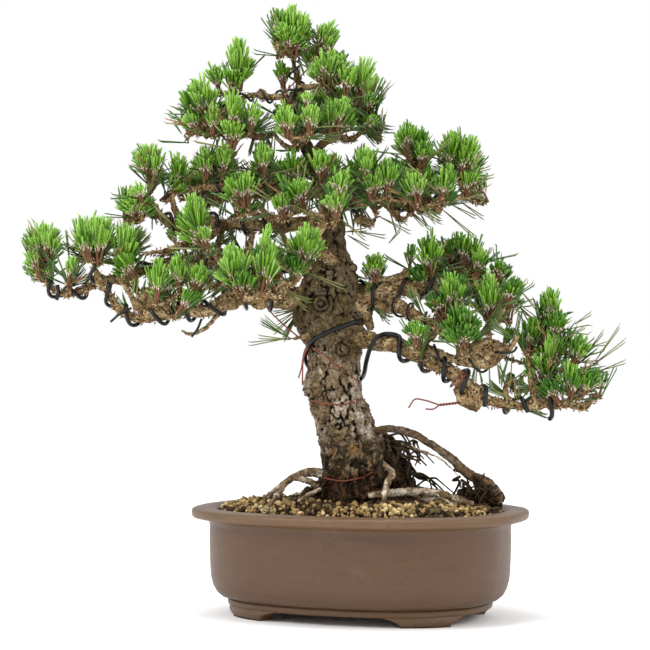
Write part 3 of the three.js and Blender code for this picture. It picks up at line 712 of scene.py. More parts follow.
def clay_finish():
    """Unglazed brown stoneware with an olive rim, wiped streaks, a pale bloom and small pits."""
    pot = sizes("pot")

    def draw(graph, place):
        height = graph("ShaderNodeSeparateXYZ", {0: place}).outputs["Z"]
        cloud = graph.noise(place, 0.06, 4)
        streaks = graph.noise(graph.vector("MULTIPLY", place, (1.0, 1.0, 6.0)), 0.045, 5, 0.65)
        rim = graph.ease(height, pot.height - 1.6 * pot.lip_height, pot.height - 0.9 * pot.lip_height)
        foot = graph.ease(height, pot.foot_height + 2 * pot.band_height, pot.foot_height)
        edges = graph.math("MAXIMUM", rim, graph.times(foot, 0.7))
        body = graph.mix(edges, paint("clay"), paint("clay_rim"))
        dark = graph.mix(0.35, body, paint("soil"))
        body = graph.coat(body, graph.ease(streaks, 0.42, 0.72), 0.45, dark)
        body = graph.coat(body, graph.ease(cloud, 0.55, 0.8), 0.35, "clay_bloom")
        speck = graph.noise(place, 0.0016, 1)
        body = graph.coat(body, graph.ease(speck, 0.66, 0.74), 0.35, "clay_bloom")
        # Painted shade: the small pits, sunk by the relief, are darkened with the fissure colour
        pits = graph.ease(graph.cells(place, 0.011), 0.045, 0.09)
        body = graph.coat(body, graph.rest(pits), 0.7, "fissure")
        relief = graph.total((pits, 0.7), (graph.noise(place, 0.0012, 3, 0.7), 0.35), (streaks, 0.5))
        roughness = graph.math("MULTIPLY_ADD", cloud, 0.20, 0.36)
        return {"colour": body, "height": relief, "roughness": roughness}

    return finish_of("unglazed_clay", draw, specular=0.42, bump=0.0004)


def trunk_zones(graph, place, patch, body):
    """The zones of the trunk's height: darker bark at its top, and rust, dark patches and crumbs at its
    foot.
    """
    height = graph("ShaderNodeSeparateXYZ", {0: place}).outputs["Z"]
    ragged = graph.total((height, 1.0), (graph.noise(place, 0.03, 4), 0.06))
    body = graph.coat(body, graph.ease(ragged, 0.270, 0.320), 0.85, "upper_bark")
    rust = graph.ease(graph.noise(place, 0.010, 4), 0.54, 0.62)
    rusty = graph.mix(rust, paint("plate_warm"), paint("ochre"))
    body = graph.coat(body, graph.ease(ragged, 0.222, 0.19), 0.75, rusty)
    # Dark patches of the fissure colour, in full below a height low on the trunk
    low_dark_patches = graph.times(graph.ease(ragged, 0.222, 0.198), graph.ease(patch, 0.44, 0.52))
    body = graph.coat(body, low_dark_patches, 0.85, "fissure")
    crumbs = graph.ease(graph.noise(place, 0.0045, 4, 0.65), 0.44, 0.60)
    foot = graph.mix(crumbs, paint("fissure"), paint("foot_bark"))
    return graph.mix(graph.ease(ragged, 0.188, 0.172), body, foot)


def bark_finish(name, plate, warm, crack, trunk=False, mottle=1.0):
    """Bark that reads the crevices and shades of its own relief. The trunk's changes with its height too."""

    def draw(graph, place):
        shade = graph.read("shade")
        fine = graph.noise(place, 0.0035, 5, 0.7)
        patch = graph.noise(place, 0.011, 4, 0.65)
        warmth = graph.total((shade, 0.75), (graph.noise(place, 0.04, 4, 0.6), 0.7))
        body = graph.mix(graph.ease(warmth, 0.40, 0.95), paint(plate), paint(warm))
        paleness = graph.total((patch, 1.0), (shade, -0.30), (fine, 0.25))
        body = graph.coat(body, graph.ease(paleness, 0.42, 0.62), 0.8, plate + "_pale")
        dusk = graph.ease(graph.noise(place, 0.014, 4, 0.65), 0.50, 0.68)
        body = graph.coat(body, dusk, 0.55 * mottle, crack)
        if trunk:
            body = trunk_zones(graph, place, patch, body)
        # The veins and the relief's crevices take the crack colour: partly darker bark in the cracks, partly
        # painted shade in these grooves
        vein = graph.winding(place, 0.0075, 4, 0.65)
        body = graph.coat(body, graph.ease(vein, 0.026, 0.006), 0.6 * mottle, crack)
        body = graph.coat(body, graph.ease(fine, 0.50, 0.68), 0.5 * mottle, crack)
        body = graph.coat(body, graph.ease(graph.read("crevice"), 0.25, 1.0), mottle, crack)
        grain = graph.noise(place, 0.0012, 3, 0.7)
        relief = graph.total((fine, 1.0), (grain, 0.5), (graph.ease(vein, 0.0, 0.03), 0.6))
        return {"colour": body, "height": relief}

    return finish_of(name, draw, roughness=0.9, specular=0.1, bump=0.0012)


def plain_finish(name, tint, roughness, specular=0.4, grain=0.0015, bump=0.0002, **constants):
    """A plain base colour with its roughness and small relief from a fine grain."""

    def draw(graph, place):
        speckle = graph.noise(place, grain, 2)
        spread = graph.math("MULTIPLY_ADD", speckle, 0.16, roughness - 0.08)
        return {"colour": paint(tint), "roughness": spread, "height": speckle}

    return finish_of(name, draw, specular=specular, bump=bump, **constants)


def soil_finish():
    """Dark soil with lighter crumbs, seen in the gaps between the grains: partly the soil's own colour,
    partly painted shade.
    """

    def draw(graph, place):
        crumbs = graph.cells(place, 0.004)
        body = graph.mix(graph.ease(crumbs, 0.2, 0.6), paint("grit_brown"), paint("soil"))
        return {"colour": body, "height": graph.rest(crumbs)}

    return finish_of("dark_soil_and_gap_shade", draw, roughness=0.95, specular=0.2, bump=0.001)


# Making and finishing pieces


def only(piece):
    """Selects one object alone and makes it active, in object mode."""
    if bpy.context.mode != "OBJECT":
        bpy.ops.object.mode_set(mode="OBJECT")
    bpy.ops.object.select_all(action="DESELECT")
    piece.select_set(True)
    bpy.context.view_layer.objects.active = piece


def added(shape, **settings):
    """A new object of one of Blender's shapes."""
    bpy.ops.object.select_all(action="DESELECT")
    getattr(bpy.ops.mesh, f"primitive_{shape}_add")(**settings)
    return bpy.context.object


def modified(piece, kind, **settings):
    """Adds one modifier with these settings to a piece and applies it."""
    only(piece)
    modifier = piece.modifiers.new(kind.title(), kind)
    for name, value in settings.items():
        setattr(modifier, name, value)
    bpy.ops.object.modifier_apply(modifier=modifier.name)
    return piece


def settle(piece, name, material, stands_for=(), angle=None):
    """Names a finished piece, gives it its material and slot, and lets it ride and stand for CAD nodes."""
    piece.name = name
    piece.data.name = name
    piece.data.materials.clear()
    piece.data.materials.append(material)
    only(piece)
    if angle is None:
        bpy.ops.object.shade_smooth()
    elif angle == 0:
        bpy.ops.object.shade_flat()
    else:
        bpy.ops.object.shade_smooth_by_angle(angle=math.radians(angle))
    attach(piece, "root")
    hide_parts(*stands_for)
    return piece


def tubes(name, routes, sides=10):
    """Round limbs along rows of x, y, z and radius, drawn as one bevelled curve and made a mesh."""
    bpy.ops.object.select_all(action="DESELECT")
    bpy.ops.curve.primitive_nurbs_path_add(location=(0, 0, 0))
    drawn = bpy.context.object
    drawn.name = name
    data = drawn.data
    data.splines.clear()
    data.bevel_depth = 1.0
    data.bevel_resolution = (sides - 4) // 2
    data.use_fill_caps = True
    data.resolution_u = 1
    for route in routes:
        spline = data.splines.new("POLY")
        spline.points.add(len(route) - 1)
        spline.points.foreach_set("co", np.insert(route[:, :3], 3, 1.0, axis=1).ravel())
        spline.points.foreach_set("radius", route[:, 3])
    only(drawn)
    bpy.ops.object.convert(target="MESH")
    return bpy.context.object


def joined(pieces):
    """One object of several, which keeps the first one's place."""
    only(pieces[0])
    for piece in pieces[1:]:
        piece.select_set(True)
    bpy.ops.object.join()
    return pieces[0]


def knob(across, up, back, radius):
    """A rough lump of wood at a place of the front view, all in millimetres."""
    lump = added("ico_sphere", subdivisions=3, radius=radius * MM, location=seen(across, up, back))
    bpy.ops.object.transform_apply(location=True, rotation=True, scale=True)
    return lump


def points_of(piece):
    """The points of a piece's mesh as rows."""
    points = np.empty(len(piece.data.vertices) * 3)
    piece.data.vertices.foreach_get("co", points)
    return points.reshape(-1, 3)


def move_points(piece, points):
    """Moves the points of a piece's mesh to these rows."""
    piece.data.vertices.foreach_set("co", points.ravel())
    piece.data.update()


def triangles_of(piece):
    """The corners of a piece's triangles as rows."""
    piece.data.calc_loop_triangles()
    return np.array([triangle.vertices for triangle in piece.data.loop_triangles])


def surface_of(piece):
    """The search tree of a piece's faces."""
    return BVHTree.FromObject(piece, bpy.context.evaluated_depsgraph_get())


def mesh_of(name, points, corners):
    """An object from an array of points and one of each face's corners, all faces alike."""
    points = np.ascontiguousarray(points, np.float32)
    corners = np.ascontiguousarray(corners, np.int32)
    mesh = bpy.data.meshes.new(name)
    mesh.vertices.add(len(points))
    mesh.vertices.foreach_set("co", points.ravel())
    mesh.loops.add(corners.size)
    mesh.loops.foreach_set("vertex_index", corners.ravel())
    mesh.polygons.add(len(corners))
    mesh.polygons.foreach_set("loop_start", np.arange(len(corners), dtype=np.int32) * corners.shape[1])
    mesh.update(calc_edges=True)
    mesh.validate()
    piece = bpy.data.objects.new(name, mesh)
    bpy.context.scene.collection.objects.link(piece)
    return piece


def copies(name, points, faces, centres, turns, scales):
    """One mesh of a small shape repeated at each centre with its own turn and scale, as arrays."""
    placed = np.einsum("nij,vj->nvi", turns * scales[:, None, :], points) + centres[:, None, :]
    corners = faces[None] + (np.arange(len(centres)) * len(points))[:, None, None]
    return mesh_of(name, placed.reshape(-1, 3), corners.reshape(-1, faces.shape[1]))


def flakes(graph, place, size, levels):
    """Overlapping flakes between the contours of a noise: their height from -1 to 0, how far in the crevice
    at their foot a point lies, and a number from 0 to 1 for each flake."""
    steps = graph.times(graph.noise(place, size, 2.5), levels)
    share = graph.math("FRACT", steps)
    ledge = graph.ease(share, 0.88, 0.99)
    # The crevice at the foot of each ledge is painted dark by the finishes: painted shade
    crevice = graph.times(graph.ease(share, 0.70, 0.90), graph.rest(ledge))
    number = graph.math("FRACT", graph.times(graph.math("FLOOR", steps), 0.618))
    return graph.math("SUBTRACT", ledge, share), crevice, number


def knot_rings(graph, place, knots):
    """Rings of callus that fade away from each knot, from -1 to 1."""
    rings = 0.0
    for centre, radius in knots:
        away = graph.vector("DISTANCE", place, tuple(centre), output="Value")
        wave = graph.math("SINE", graph.times(away, WHOLE_TURN / (0.62 * radius)))
        near = graph.rest(graph.ease(away, 1.1 * radius, 2.1 * radius))
        rings = graph.math("MULTIPLY_ADD", wave, near, rings)
    return rings


def relief_nodes(name, size, depth, lumps, stretch=1.0, knots=()):
    """Geometry nodes that raise flakes of bark over cracks and lumps, and store what its finish reads."""
    tree = bpy.data.node_groups.new(name, "GeometryNodeTree")
    for way in ("INPUT", "OUTPUT"):
        tree.interface.new_socket("Geometry", in_out=way, socket_type="NodeSocketGeometry")
    graph = Graph(tree)
    place = graph("GeometryNodeInputPosition").outputs["Position"]
    drift = graph.vector("SUBTRACT", graph.noise(place, 0.7 * size, 3, output="Color"), (0.5, 0.5, 0.5))
    bent = graph.vector("ADD", place, graph.vector("SCALE", drift, Scale=0.5 * size))
    bent = graph.vector("MULTIPLY", bent, (1.0, 1.0, stretch))
    broad, broad_crevice, number = flakes(graph, bent, 2.2 * size, 6.5)
    small, small_crevice, _ = flakes(graph, bent, 0.7 * size, 4.5)
    crack = graph.rest(graph.ease(graph.winding(bent, 1.3 * size, 3.5), 0.003, 0.024))
    edge = graph.cells(bent, 1.05 * size, "DISTANCE_TO_EDGE")
    seam = graph.rest(graph.ease(edge, 0.010, 0.050))
    tone = graph.cells(bent, 1.05 * size, output="Color")
    grain = graph.noise(place, 0.13 * size, 3, 0.7)
    coarse = graph.noise(place, 0.32 * size, 3, 0.7)
    lump = graph.noise(place, 3.2 * size, 2)
    rings = knot_rings(graph, place, knots)
    flaked = ((broad, 1.1), (small, 0.5), (crack, -0.35), (seam, -0.35), (tone, 0.5))
    weighed = [(value, weight * depth) for value, weight in (*flaked, (grain, 0.1), (coarse, 0.1))]
    height = graph.total(*weighed, (lump, 2 * lumps), (rings, 0.9 * depth))
    height = graph.math("ADD", height, -0.30 * depth - lumps)
    # What the finishes paint dark: cracks, seams, ring troughs and the foot of each flake's ledge, partly as
    # darker bark and partly as painted shade
    crevices = ((broad_crevice, 0.9), (small_crevice, 0.45), (crack, 0.8), (seam, 0.75))
    stored = {
        "crevice": graph.total(*crevices, (rings, -0.5), (coarse, -0.3)),
        "shade": graph.math("MULTIPLY_ADD", tone, 0.6, graph.times(number, 0.4)),
    }
    move_out(graph, height, stored)
    return tree


def move_out(graph, height, stored):
    """Moves the geometry out by a height and stores values on it by name."""
    offset = graph.vector("SCALE", graph("GeometryNodeInputNormal").outputs["Normal"], Scale=height)
    geometry = graph("NodeGroupInput").outputs["Geometry"]
    for attribute, value in stored.items():
        inputs = {"Geometry": geometry, "Name": attribute, "Value": value}
        kept = graph("GeometryNodeStoreNamedAttribute", inputs, domain="POINT", data_type="FLOAT")
        geometry = kept.outputs[0]
    moved = graph("GeometryNodeSetPosition", {"Geometry": geometry, "Offset": offset}).outputs["Geometry"]
    graph("NodeGroupOutput", {"Geometry": moved})


def rough_bark(piece, edge, relief, soften=3):
    """Evens a piece's mesh, softens its joins and gives it the relief of bark."""
    modified(piece, "REMESH", mode="VOXEL", voxel_size=edge)
    modified(piece, "SMOOTH", factor=0.5, iterations=soften)
    return modified(piece, "NODES", node_group=relief)


def barked(name, limbs, relief, finish, slot, stands_for=(), knobs=(), sides=16, soften=3):
    """One piece of limbs, given by their stations, with its knobs and the relief of its bark."""
    wood = tubes(name, [limb_route(stations, LIMB_STEP) for stations in limbs], sides)
    for place in knobs:
        wood = joined([wood, knob(*place)])
    rough_bark(wood, sizes("bark").bough_mesh, relief, soften)
    return settle(wood, name, finish, stands_for)


# The pot


# Corners of the pot's feet, in degrees round its oval
FEET = {"front_right": -45, "front_left": -135, "back_left": 135, "back_right": 45}

# Rings of the pot's section, each as inward and upward steps in metres from the edge that is named
FROM_BAND_FOOT = ((0.0015, 0.0), (0.0, 0.0012), (-0.0008, 0.004))
FROM_BAND_TOP = (
    (0.0, -0.0008), (0.0008, 0.0), (-0.0015, 0.0007), (-0.0065, 0.0022), (-0.0115, 0.0065),
    (-0.0150, 0.013), (-0.0172, 0.021), (-0.0182, 0.031),
)
UP_THE_WALL = ((0.0004, 0.045), (0.0, 0.060))
UNDER_THE_LIP = ((0.0003, -0.009), (-0.0003, -0.0048), (-0.0030, -0.0022))
FROM_LIP_BOTTOM = ((0.0050, -0.0008), (0.0018, 0.0), (0.0004, 0.0014))
FROM_RIM_EDGE = ((0.0, -0.0036), (0.0006, -0.0020), (0.0022, -0.0010), (0.0055, -0.0006))
FROM_RIM_INSIDE = ((-0.003, 0.0), (0.0, -0.0010))
DOWN_THE_INSIDE = ((-0.001, -0.0035), (0.0, -0.008))


def inner_inset():
    """How far inside the rim's edge the pot's inner face lies."""
    pot = sizes("pot")
    return pot.overhang + pot.wall


def pot_profile():
    """Inset and height of every ring of the pot, up its outside, over the rim and down its inside."""
    pot = sizes("pot")
    band_top = pot.foot_height + pot.band_height
    lip_bottom = pot.height - pot.lip_height
    edges = (
        (pot.band_inset, pot.foot_height, FROM_BAND_FOOT),
        (pot.band_inset, band_top, FROM_BAND_TOP),
        (pot.overhang, band_top, UP_THE_WALL),
        (pot.overhang, lip_bottom, UNDER_THE_LIP),
        (0.0, lip_bottom, FROM_LIP_BOTTOM),
        (0.0, pot.height, FROM_RIM_EDGE),
        (pot.rim_width, pot.height, FROM_RIM_INSIDE),
        (inner_inset(), pot.height, DOWN_THE_INSIDE),
        (inner_inset(), band_top, ((0.0, 0.030),)),
        (inner_inset(), pot.foot_height, ((0.012, 0.010),)),
    )
    return [(inset + inward, height + rise) for inset, height, steps in edges for inward, rise in steps]


def on_oval(half_length, half_width, angles):
    """Across and back of points of an oval like the unturned pot's, by their angles."""
    power = 2 / sizes("pot").power
    cosines, sines = np.cos(angles), np.sin(angles)
    x = half_length * np.sign(cosines) * np.abs(cosines) ** power
    y = half_width * np.sign(sines) * np.abs(sines) ** power
    return x, y


def turned(x, y, turn):
    """Across and back after a turn round the origin."""
    return x * math.cos(turn) - y * math.sin(turn), x * math.sin(turn) + y * math.cos(turn)


def pot_place(x, y, z):
    """Points of the unturned pot at the origin as points of the frame."""
    x, y = turned(x, y, sizes("pot").turn)
    return np.stack((x + POT_MIDDLE[0], y + POT_MIDDLE[1], z), axis=-1)


def unturned(points):
    """Across and back of frame points in the unturned pot."""
    return turned(points[:, 0] - POT_MIDDLE[0], points[:, 1] - POT_MIDDLE[1], -sizes("pot").turn)


def turned_oval(name, profile):
    """A body of the pot's oval, closed at both ends: a circle shaped as the first ring of a profile, then
    extruded and resized along it. The profile's rings are insets from the rim's edge and heights."""
    pot = sizes("pot")
    body = added("circle", vertices=pot.sides, radius=pot.half_length)
    body.name = name
    inset, height = profile[0]
    angles = np.linspace(0, WHOLE_TURN, pot.sides, endpoint=False)
    x, y = on_oval(pot.half_length - inset, pot.half_width - inset, angles)
    move_points(body, np.stack((x, y, np.full_like(x, height)), axis=-1))
    bpy.ops.object.mode_set(mode="EDIT")
    bpy.ops.mesh.select_all(action="SELECT")
    bpy.ops.mesh.edge_face_add()
    bpy.ops.mesh.select_all(action="SELECT")
    for next_inset, next_height in profile[1:]:
        bpy.ops.mesh.extrude_region_move(TRANSFORM_OT_translate={"value": (0, 0, next_height - height)})
        factors = [(side - next_inset) / (side - inset) for side in (pot.half_length, pot.half_width)]
        bpy.ops.transform.resize(value=(*factors, 1))
        inset, height = next_inset, next_height
    bpy.ops.mesh.select_all(action="SELECT")
    bpy.ops.mesh.normals_make_consistent(inside=False)
    bpy.ops.object.mode_set(mode="OBJECT")
    move_points(body, pot_place(*points_of(body).T))
    return body


def potter_marks(piece, strength):
    """Small unevenness of a shape that was pressed and wiped by hand."""
    texture = bpy.data.textures.new("hand_marks", "CLOUDS")
    texture.noise_scale = 0.05
    settings = {"texture": texture, "texture_coords": "LOCAL", "strength": strength, "mid_level": 0.5}
    return modified(piece, "DISPLACE", **settings)


class BONSAI_OT_pot(bpy.types.Operator):
    """Builds the pot's body: an oval with a base band, a rounded wall, a wide lip and an open inside."""

    bl_idname = "bonsai.pot"
    bl_label = "Pot"

    def execute(self, context):
        body = turned_oval("pot_body_clay", pot_profile())
        potter_marks(body, 0.0011)
        finish = clay_finish()
        settle(body, "pot_body_clay", finish, ["pot_body"], angle=40)
        for corner, degrees in FEET.items():
            node = f"pot_foot_{corner}"
            settle(pot_foot(degrees), node + "_clay", finish, [node], angle=40)
        return {"FINISHED"}


def pot_foot(degrees):
    """A bracket foot: a block bent round a corner of the oval that spreads from the ground to the band."""
    pot = sizes("pot")
    foot = added("cube", size=1)
    bpy.ops.object.mode_set(mode="EDIT")
    bpy.ops.mesh.subdivide(number_cuts=11)
    bpy.ops.object.mode_set(mode="OBJECT")
    along, across, up = points_of(foot).T
    rise = up + 0.5
    outer = pot.band_inset + 0.0012
    half_length, half_width = pot.half_length - outer, pot.half_width - outer
    half_span = (pot.foot_span + pot.foot_flare * rise**2.2) / math.hypot(half_length, half_width)
    roll = 0.0016 * np.sin(np.pi * rise) - 0.0028 * (1 - rise) ** 2
    inward = (0.5 - across) * pot.foot_thickness - (across > 0.49) * roll
    angles = math.radians(degrees) - 2 * along * half_span * math.sqrt(2)
    x, y = on_oval(half_length - inward, half_width - inward, angles)
    move_points(foot, pot_place(x, y, rise * (pot.foot_height + 0.0006)))
    modified(foot, "BEVEL", width=0.0011, segments=2, limit_method="ANGLE", angle_limit=math.radians(50))
    return foot


# The soil


def soil_height(x, y):
    """Height of the soil at points of the unturned pot, and how far inside its edge they lie."""
    pot, soil = sizes("pot"), sizes("soil")
    half_length, half_width = pot.half_length - inner_inset(), pot.half_width - inner_inset()
    share = (np.abs(x / half_length) ** pot.power + np.abs(y / half_width) ** pot.power) ** (1 / pot.power)
    inset = (1 - share) * half_width
    rise = np.clip(inset / soil.slope, 0, 1)
    swells = 0.0016 * np.sin(47 * x + 1.0) * np.cos(61 * y)
    ripples = 0.001 * np.sin(140 * x) * np.sin(120 * y + 2.0)
    mound = soil.edge + (soil.top - soil.edge) * np.sqrt(rise)
    return mound + (swells + ripples) * np.clip(4 * rise, 0, 1), inset


def random_turns(rng, count):
    """Random rotation matrices."""
    axes = unit(rng.normal(size=(count, 3)))
    angles = rng.uniform(0, WHOLE_TURN, count)
    cross = np.zeros((count, 3, 3))
    cross[:, 0, 1], cross[:, 0, 2], cross[:, 1, 2] = -axes[:, 2], axes[:, 1], -axes[:, 0]
    cross -= cross.transpose(0, 2, 1)
    sine, cosine = np.sin(angles)[:, None, None], np.cos(angles)[:, None, None]
    return np.eye(3) + sine * cross + (1 - cosine) * cross @ cross


def pebble(rng):
    """A small angular stone: an icosphere with its corners pushed about."""
    stone = added("ico_sphere", subdivisions=2, radius=0.5)
    modified(stone, "DECIMATE", ratio=0.45)
    points, faces = points_of(stone), triangles_of(stone)
    bpy.data.objects.remove(stone)
    return points * rng.uniform(0.82, 1.12, (len(points), 1)), faces


class BONSAI_OT_soil(bpy.types.Operator):
    """Builds the bed of soil and the grains of grit that lie on it."""

    bl_idname = "bonsai.soil"
    bl_label = "Soil and Grit"

    def execute(self, context):
        pot, soil, inner = sizes("pot"), sizes("soil"), inner_inset()
        wall = inner + 0.0005
        profile = [(inner + 0.012, pot.foot_height + 0.012), (wall, 0.05), (wall, soil.edge)]
        profile += [(inner + soil.slope * share, soil.edge) for share in np.linspace(0.08, 1.6, 16)]
        bed = turned_oval("soil_bed", profile)
        modified(bed, "TRIANGULATE", min_vertices=5)
        points = points_of(bed)
        height, _ = soil_height(*unturned(points))
        raised = points[:, 2] > soil.edge - 0.001
        points[raised, 2] = height[raised] - soil.grain
        move_points(bed, points)
        settle(bed, "soil_bed", soil_finish(), ["soil"])
        self.grit()
        return {"FINISHED"}

    def grit(self):
        """Scatters the grains evenly over the bed, in four colours."""
        pot, soil = sizes("pot"), sizes("soil")
        rng = draws(0)
        step = 1.12 * soil.grain
        across = np.arange(-pot.half_length, pot.half_length, step)
        back = np.arange(-pot.half_width, pot.half_width, step)
        x, y = (grid.ravel() for grid in np.meshgrid(across, back))
        x = x + rng.uniform(-0.5, 0.5, x.shape) * step
        y = y + rng.uniform(-0.5, 0.5, y.shape) * step
        height, inset = soil_height(x, y)
        inside = inset > 0.5 * soil.grain
        x, y, height = x[inside], y[inside], height[inside]
        count = len(x)
        width = soil.grain * rng.uniform(0.45, 1.45, (count, 1)) * rng.uniform(0.8, 1.15, (count, 3))
        centres = pot_place(x, y, height + rng.uniform(-0.3, 0.35, count) * soil.grain)
        patch = np.sin(52 * x + 2.0) * np.sin(66 * y) + rng.normal(0, 0.55, count)
        kinds = np.select([patch > 1.1, patch > 0.1, patch < -0.8], [3, 2, 1], 0)
        for kind, tint in enumerate(GRIT_TINTS):
            chosen = np.flatnonzero(kinds == kind)
            points, faces = pebble(rng)
            turns = random_turns(rng, len(chosen))
            grains = copies(tint, points, faces, centres[chosen], turns, width[chosen])
            settle(grains, tint, plain_finish(tint, tint, 0.9, 0.25, 0.0012, 0.0004), angle=30)


# The wood


class BONSAI_OT_trunk(bpy.types.Operator):
    """Builds the leaning trunk with its flared foot, its bark plates and its healed cuts."""

    bl_idname = "bonsai.trunk"
    bl_label = "Trunk"

    def execute(self, context):
        bark = sizes("bark")
        trunk = limb_route(TRUNK, 4 * MM)
        wood = tubes("trunk_bark", [trunk, *self.spurs()], sides=32)
        for place in TRUNK_LUMPS:
            wood = joined([wood, knob(*place)])
        knots = [(seen(*place), radius * MM) for *place, radius in KNOTS]
        shape = {"lumps": 0.0035, "stretch": 0.62, "knots": knots}
        relief = relief_nodes("trunk_relief", bark.plate, bark.fissure, **shape)
        rough_bark(wood, bark.trunk_mesh, relief, soften=8)
        finish = bark_finish("trunk_bark", "plate", "plate_warm", "fissure", trunk=True)
        settle(wood, "trunk_bark", finish, ["trunk"])
        self.healed_cuts(wood)
        return {"FINISHED"}

    def spurs(self):
        """Short ridges that run from the trunk down into the soil and make the root flare."""
        foot = seen(*TRUNK[1][:3])
        routes = []
        for degrees, reach, rise in SPURS:
            angle = math.radians(degrees)
            out = np.array((math.cos(angle), math.sin(angle), 0.0))
            stations = [
                (*(foot + out * 12 * MM + UP * 2.4 * rise * MM), 15 * MM),
                (*(foot + out * 30 * MM + UP * 0.9 * rise * MM), 13 * MM),
                (*(foot + out * 0.8 * reach * MM), 9 * MM),
                (*(foot + out * 1.1 * reach * MM - UP * 12 * MM), 7 * MM),
            ]
            routes.append(smooth_route(stations, 4 * MM))
        return routes

    def healed_cuts(self, wood):
        """Old cuts, each a ring of callus round a ringed face, on the bark that the front view shows."""
        surface = surface_of(wood)
        for name, (across, up, radius) in CUTS.items():
            aim = Vector(seen(across, up, 0) - EYE).normalized()
            place, _, _, _ = surface.ray_cast(Vector(EYE), aim)
            turn = (-aim + Vector((0.25, 0, 0.1))).to_track_quat("Z", "Y").to_euler()
            sized = {"vertices": 28, "radius": radius * MM, "depth": 5 * MM}
            disc = added("cylinder", **sized, location=place, rotation=turn)
            bpy.ops.object.mode_set(mode="EDIT")
            for face in bmesh.from_edit_mesh(disc.data).faces:
                face.select = len(face.verts) > 4 and face.normal.z > 0.5
            for inset, sink in CUT_RINGS:
                bpy.ops.mesh.inset(thickness=inset * radius * MM, depth=sink * radius * MM)
            bpy.ops.object.mode_set(mode="OBJECT")
            bpy.ops.object.transform_apply(location=True, rotation=True, scale=True)
            modified(disc, "BEVEL", width=0.3 * MM, segments=2, limit_method="ANGLE")
            settle(disc, name, self.cut_finish(name, place, radius * MM), angle=50)

    def cut_finish(self, name, centre, radius):
        """Greenish cut wood with faint rings and a dark edge."""

        def draw(graph, place):
            away = graph.vector("DISTANCE", place, tuple(centre), output="Value")
            grain = graph.noise(place, 0.0018, 4, 0.65)
            ringed = graph.math("SINE", graph.math("MULTIPLY_ADD", away, 9 / radius, grain))
            body = graph.mix(graph.ease(ringed, -0.2, 0.9), paint("heartwood"), paint("plate_warm"))
            body = graph.mix(graph.ease(away, 0.72 * radius, 0.98 * radius), body, paint("fissure"))
            return {"colour": body, "height": grain}

        return finish_of(name + "_wood", draw, roughness=0.85, specular=0.25, bump=0.0006)


class BONSAI_OT_boughs(bpy.types.Operator):
    """Builds each bough with its knobs and scaly bark, and the bare side twigs."""

    bl_idname = "bonsai.boughs"
    bl_label = "Boughs"

    def execute(self, context):
        bark = sizes("bark")
        finish = bark_finish("bough_bark", "bough", "bough_warm", "bough_dark")
        relief = relief_nodes("bough_relief", bark.scale, bark.scale_depth, lumps=0.0022)
        looks = relief, finish, "bough_bark"
        for name, stations in BOUGHS.items():
            barked(name + "_bark", [stations], *looks, [name], KNOBS.get(name, ()))
        barked("side_twigs", SIDE_TWIGS, *looks, sides=12)
        return {"FINISHED"}


class BONSAI_OT_roots(bpy.types.Operator):
    """Builds the surface roots, the arching root and the tangle of thin roots under it."""

    bl_idname = "bonsai.roots"
    bl_label = "Roots"

    def execute(self, context):
        bark = sizes("bark")
        finish = bark_finish("root_bark", "root", "root_warm", "root_dark", mottle=0.4)
        arch_finish = bark_finish("arch_bark", "arch", "root_warm", "root_dark", mottle=0.5)
        relief = relief_nodes("root_relief", 2.4 * bark.scale, 0.8 * bark.scale_depth, lumps=0.0020)
        for name, stations in ROOTS.items():
            own = arch_finish if "arch" in name else finish
            barked(name + "_bark", [stations], relief, own, "root_bark", [name])
        self.crumbs()
        barked("thin_roots", THIN_ROOTS, relief, finish, "root_bark", sides=10, soften=1)
        tangle = tubes("root_tangle", self.tangle(), sides=6)
        fine = plain_finish("fine_root", "fine_root", 0.9, 0.2, 0.001, 0.0005)
        settle(tangle, "root_tangle", fine)
        return {"FINISHED"}

    def crumbs(self):
        """Dark crumbly soil that the roots hold, at the trunk's foot and at the arch's end."""
        lumps = [knob(*place) for place in CRUMBS]
        bark = sizes("bark")
        relief = relief_nodes("crumb_relief", 0.6 * bark.scale, 1.1 * bark.scale_depth, lumps=0.004)
        rough_bark(joined(lumps), bark.bough_mesh, relief, soften=1)
        crumbly = bark_finish("crumbs", "crumb", "fine_root", "fissure")
        settle(lumps[0], "root_crumbs", crumbly)

    def tangle(self):
        """Thin roots that wander from the trunk's foot, and from under the arch, down to the soil."""
        rng = draws(1)
        routes = []
        for start, end, count in TANGLES:
            for _ in range(count):
                first = seen(*(np.array(start) + rng.normal(0, (5, 5, 8))))
                last = seen(*(np.array(end) + rng.normal(0, (12, 2, 12))))
                way = np.linspace(first, last, 6)
                arch = UP * np.sin(np.linspace(0.5, 2.6, 4))[:, None] * 0.004
                way[1:-1] += rng.normal(0, 0.0035, (4, 3)) + arch
                radius = np.linspace(rng.uniform(1.0, 2.0), 0.7, 6)[:, None] * MM
                routes.append(smooth_route(np.hstack((way, radius)), LIMB_STEP))
        return routes


# The crown


def masses():
    """The names of the foliage masses of the CAD model."""
    return [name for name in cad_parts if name.startswith("foliage_")]


@functools.cache
def mass_shells():
    """Each foliage mass as its points, triangles and search tree, and one tree of all."""
    shells, every_point, every_face, count = {}, [], [], 0
    for name in sorted(masses()):
        points, faces = points_of(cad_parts[name]), triangles_of(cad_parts[name])
        shells[name] = points, faces, BVHTree.FromPolygons(points.tolist(), faces.tolist())
        every_point.append(points)
        every_face.append(faces + count)
        count += len(points)
    whole = BVHTree.FromPolygons(np.vstack(every_point).tolist(), np.vstack(every_face).tolist())
    return shells, whole


def outside(point, tree):
    """How far a point lies outside the closed shells of a search tree, negative inside."""
    near, normal, _, away = tree.find_nearest(Vector(point))
    return away if (Vector(point) - near).dot(normal) > 0 else -away


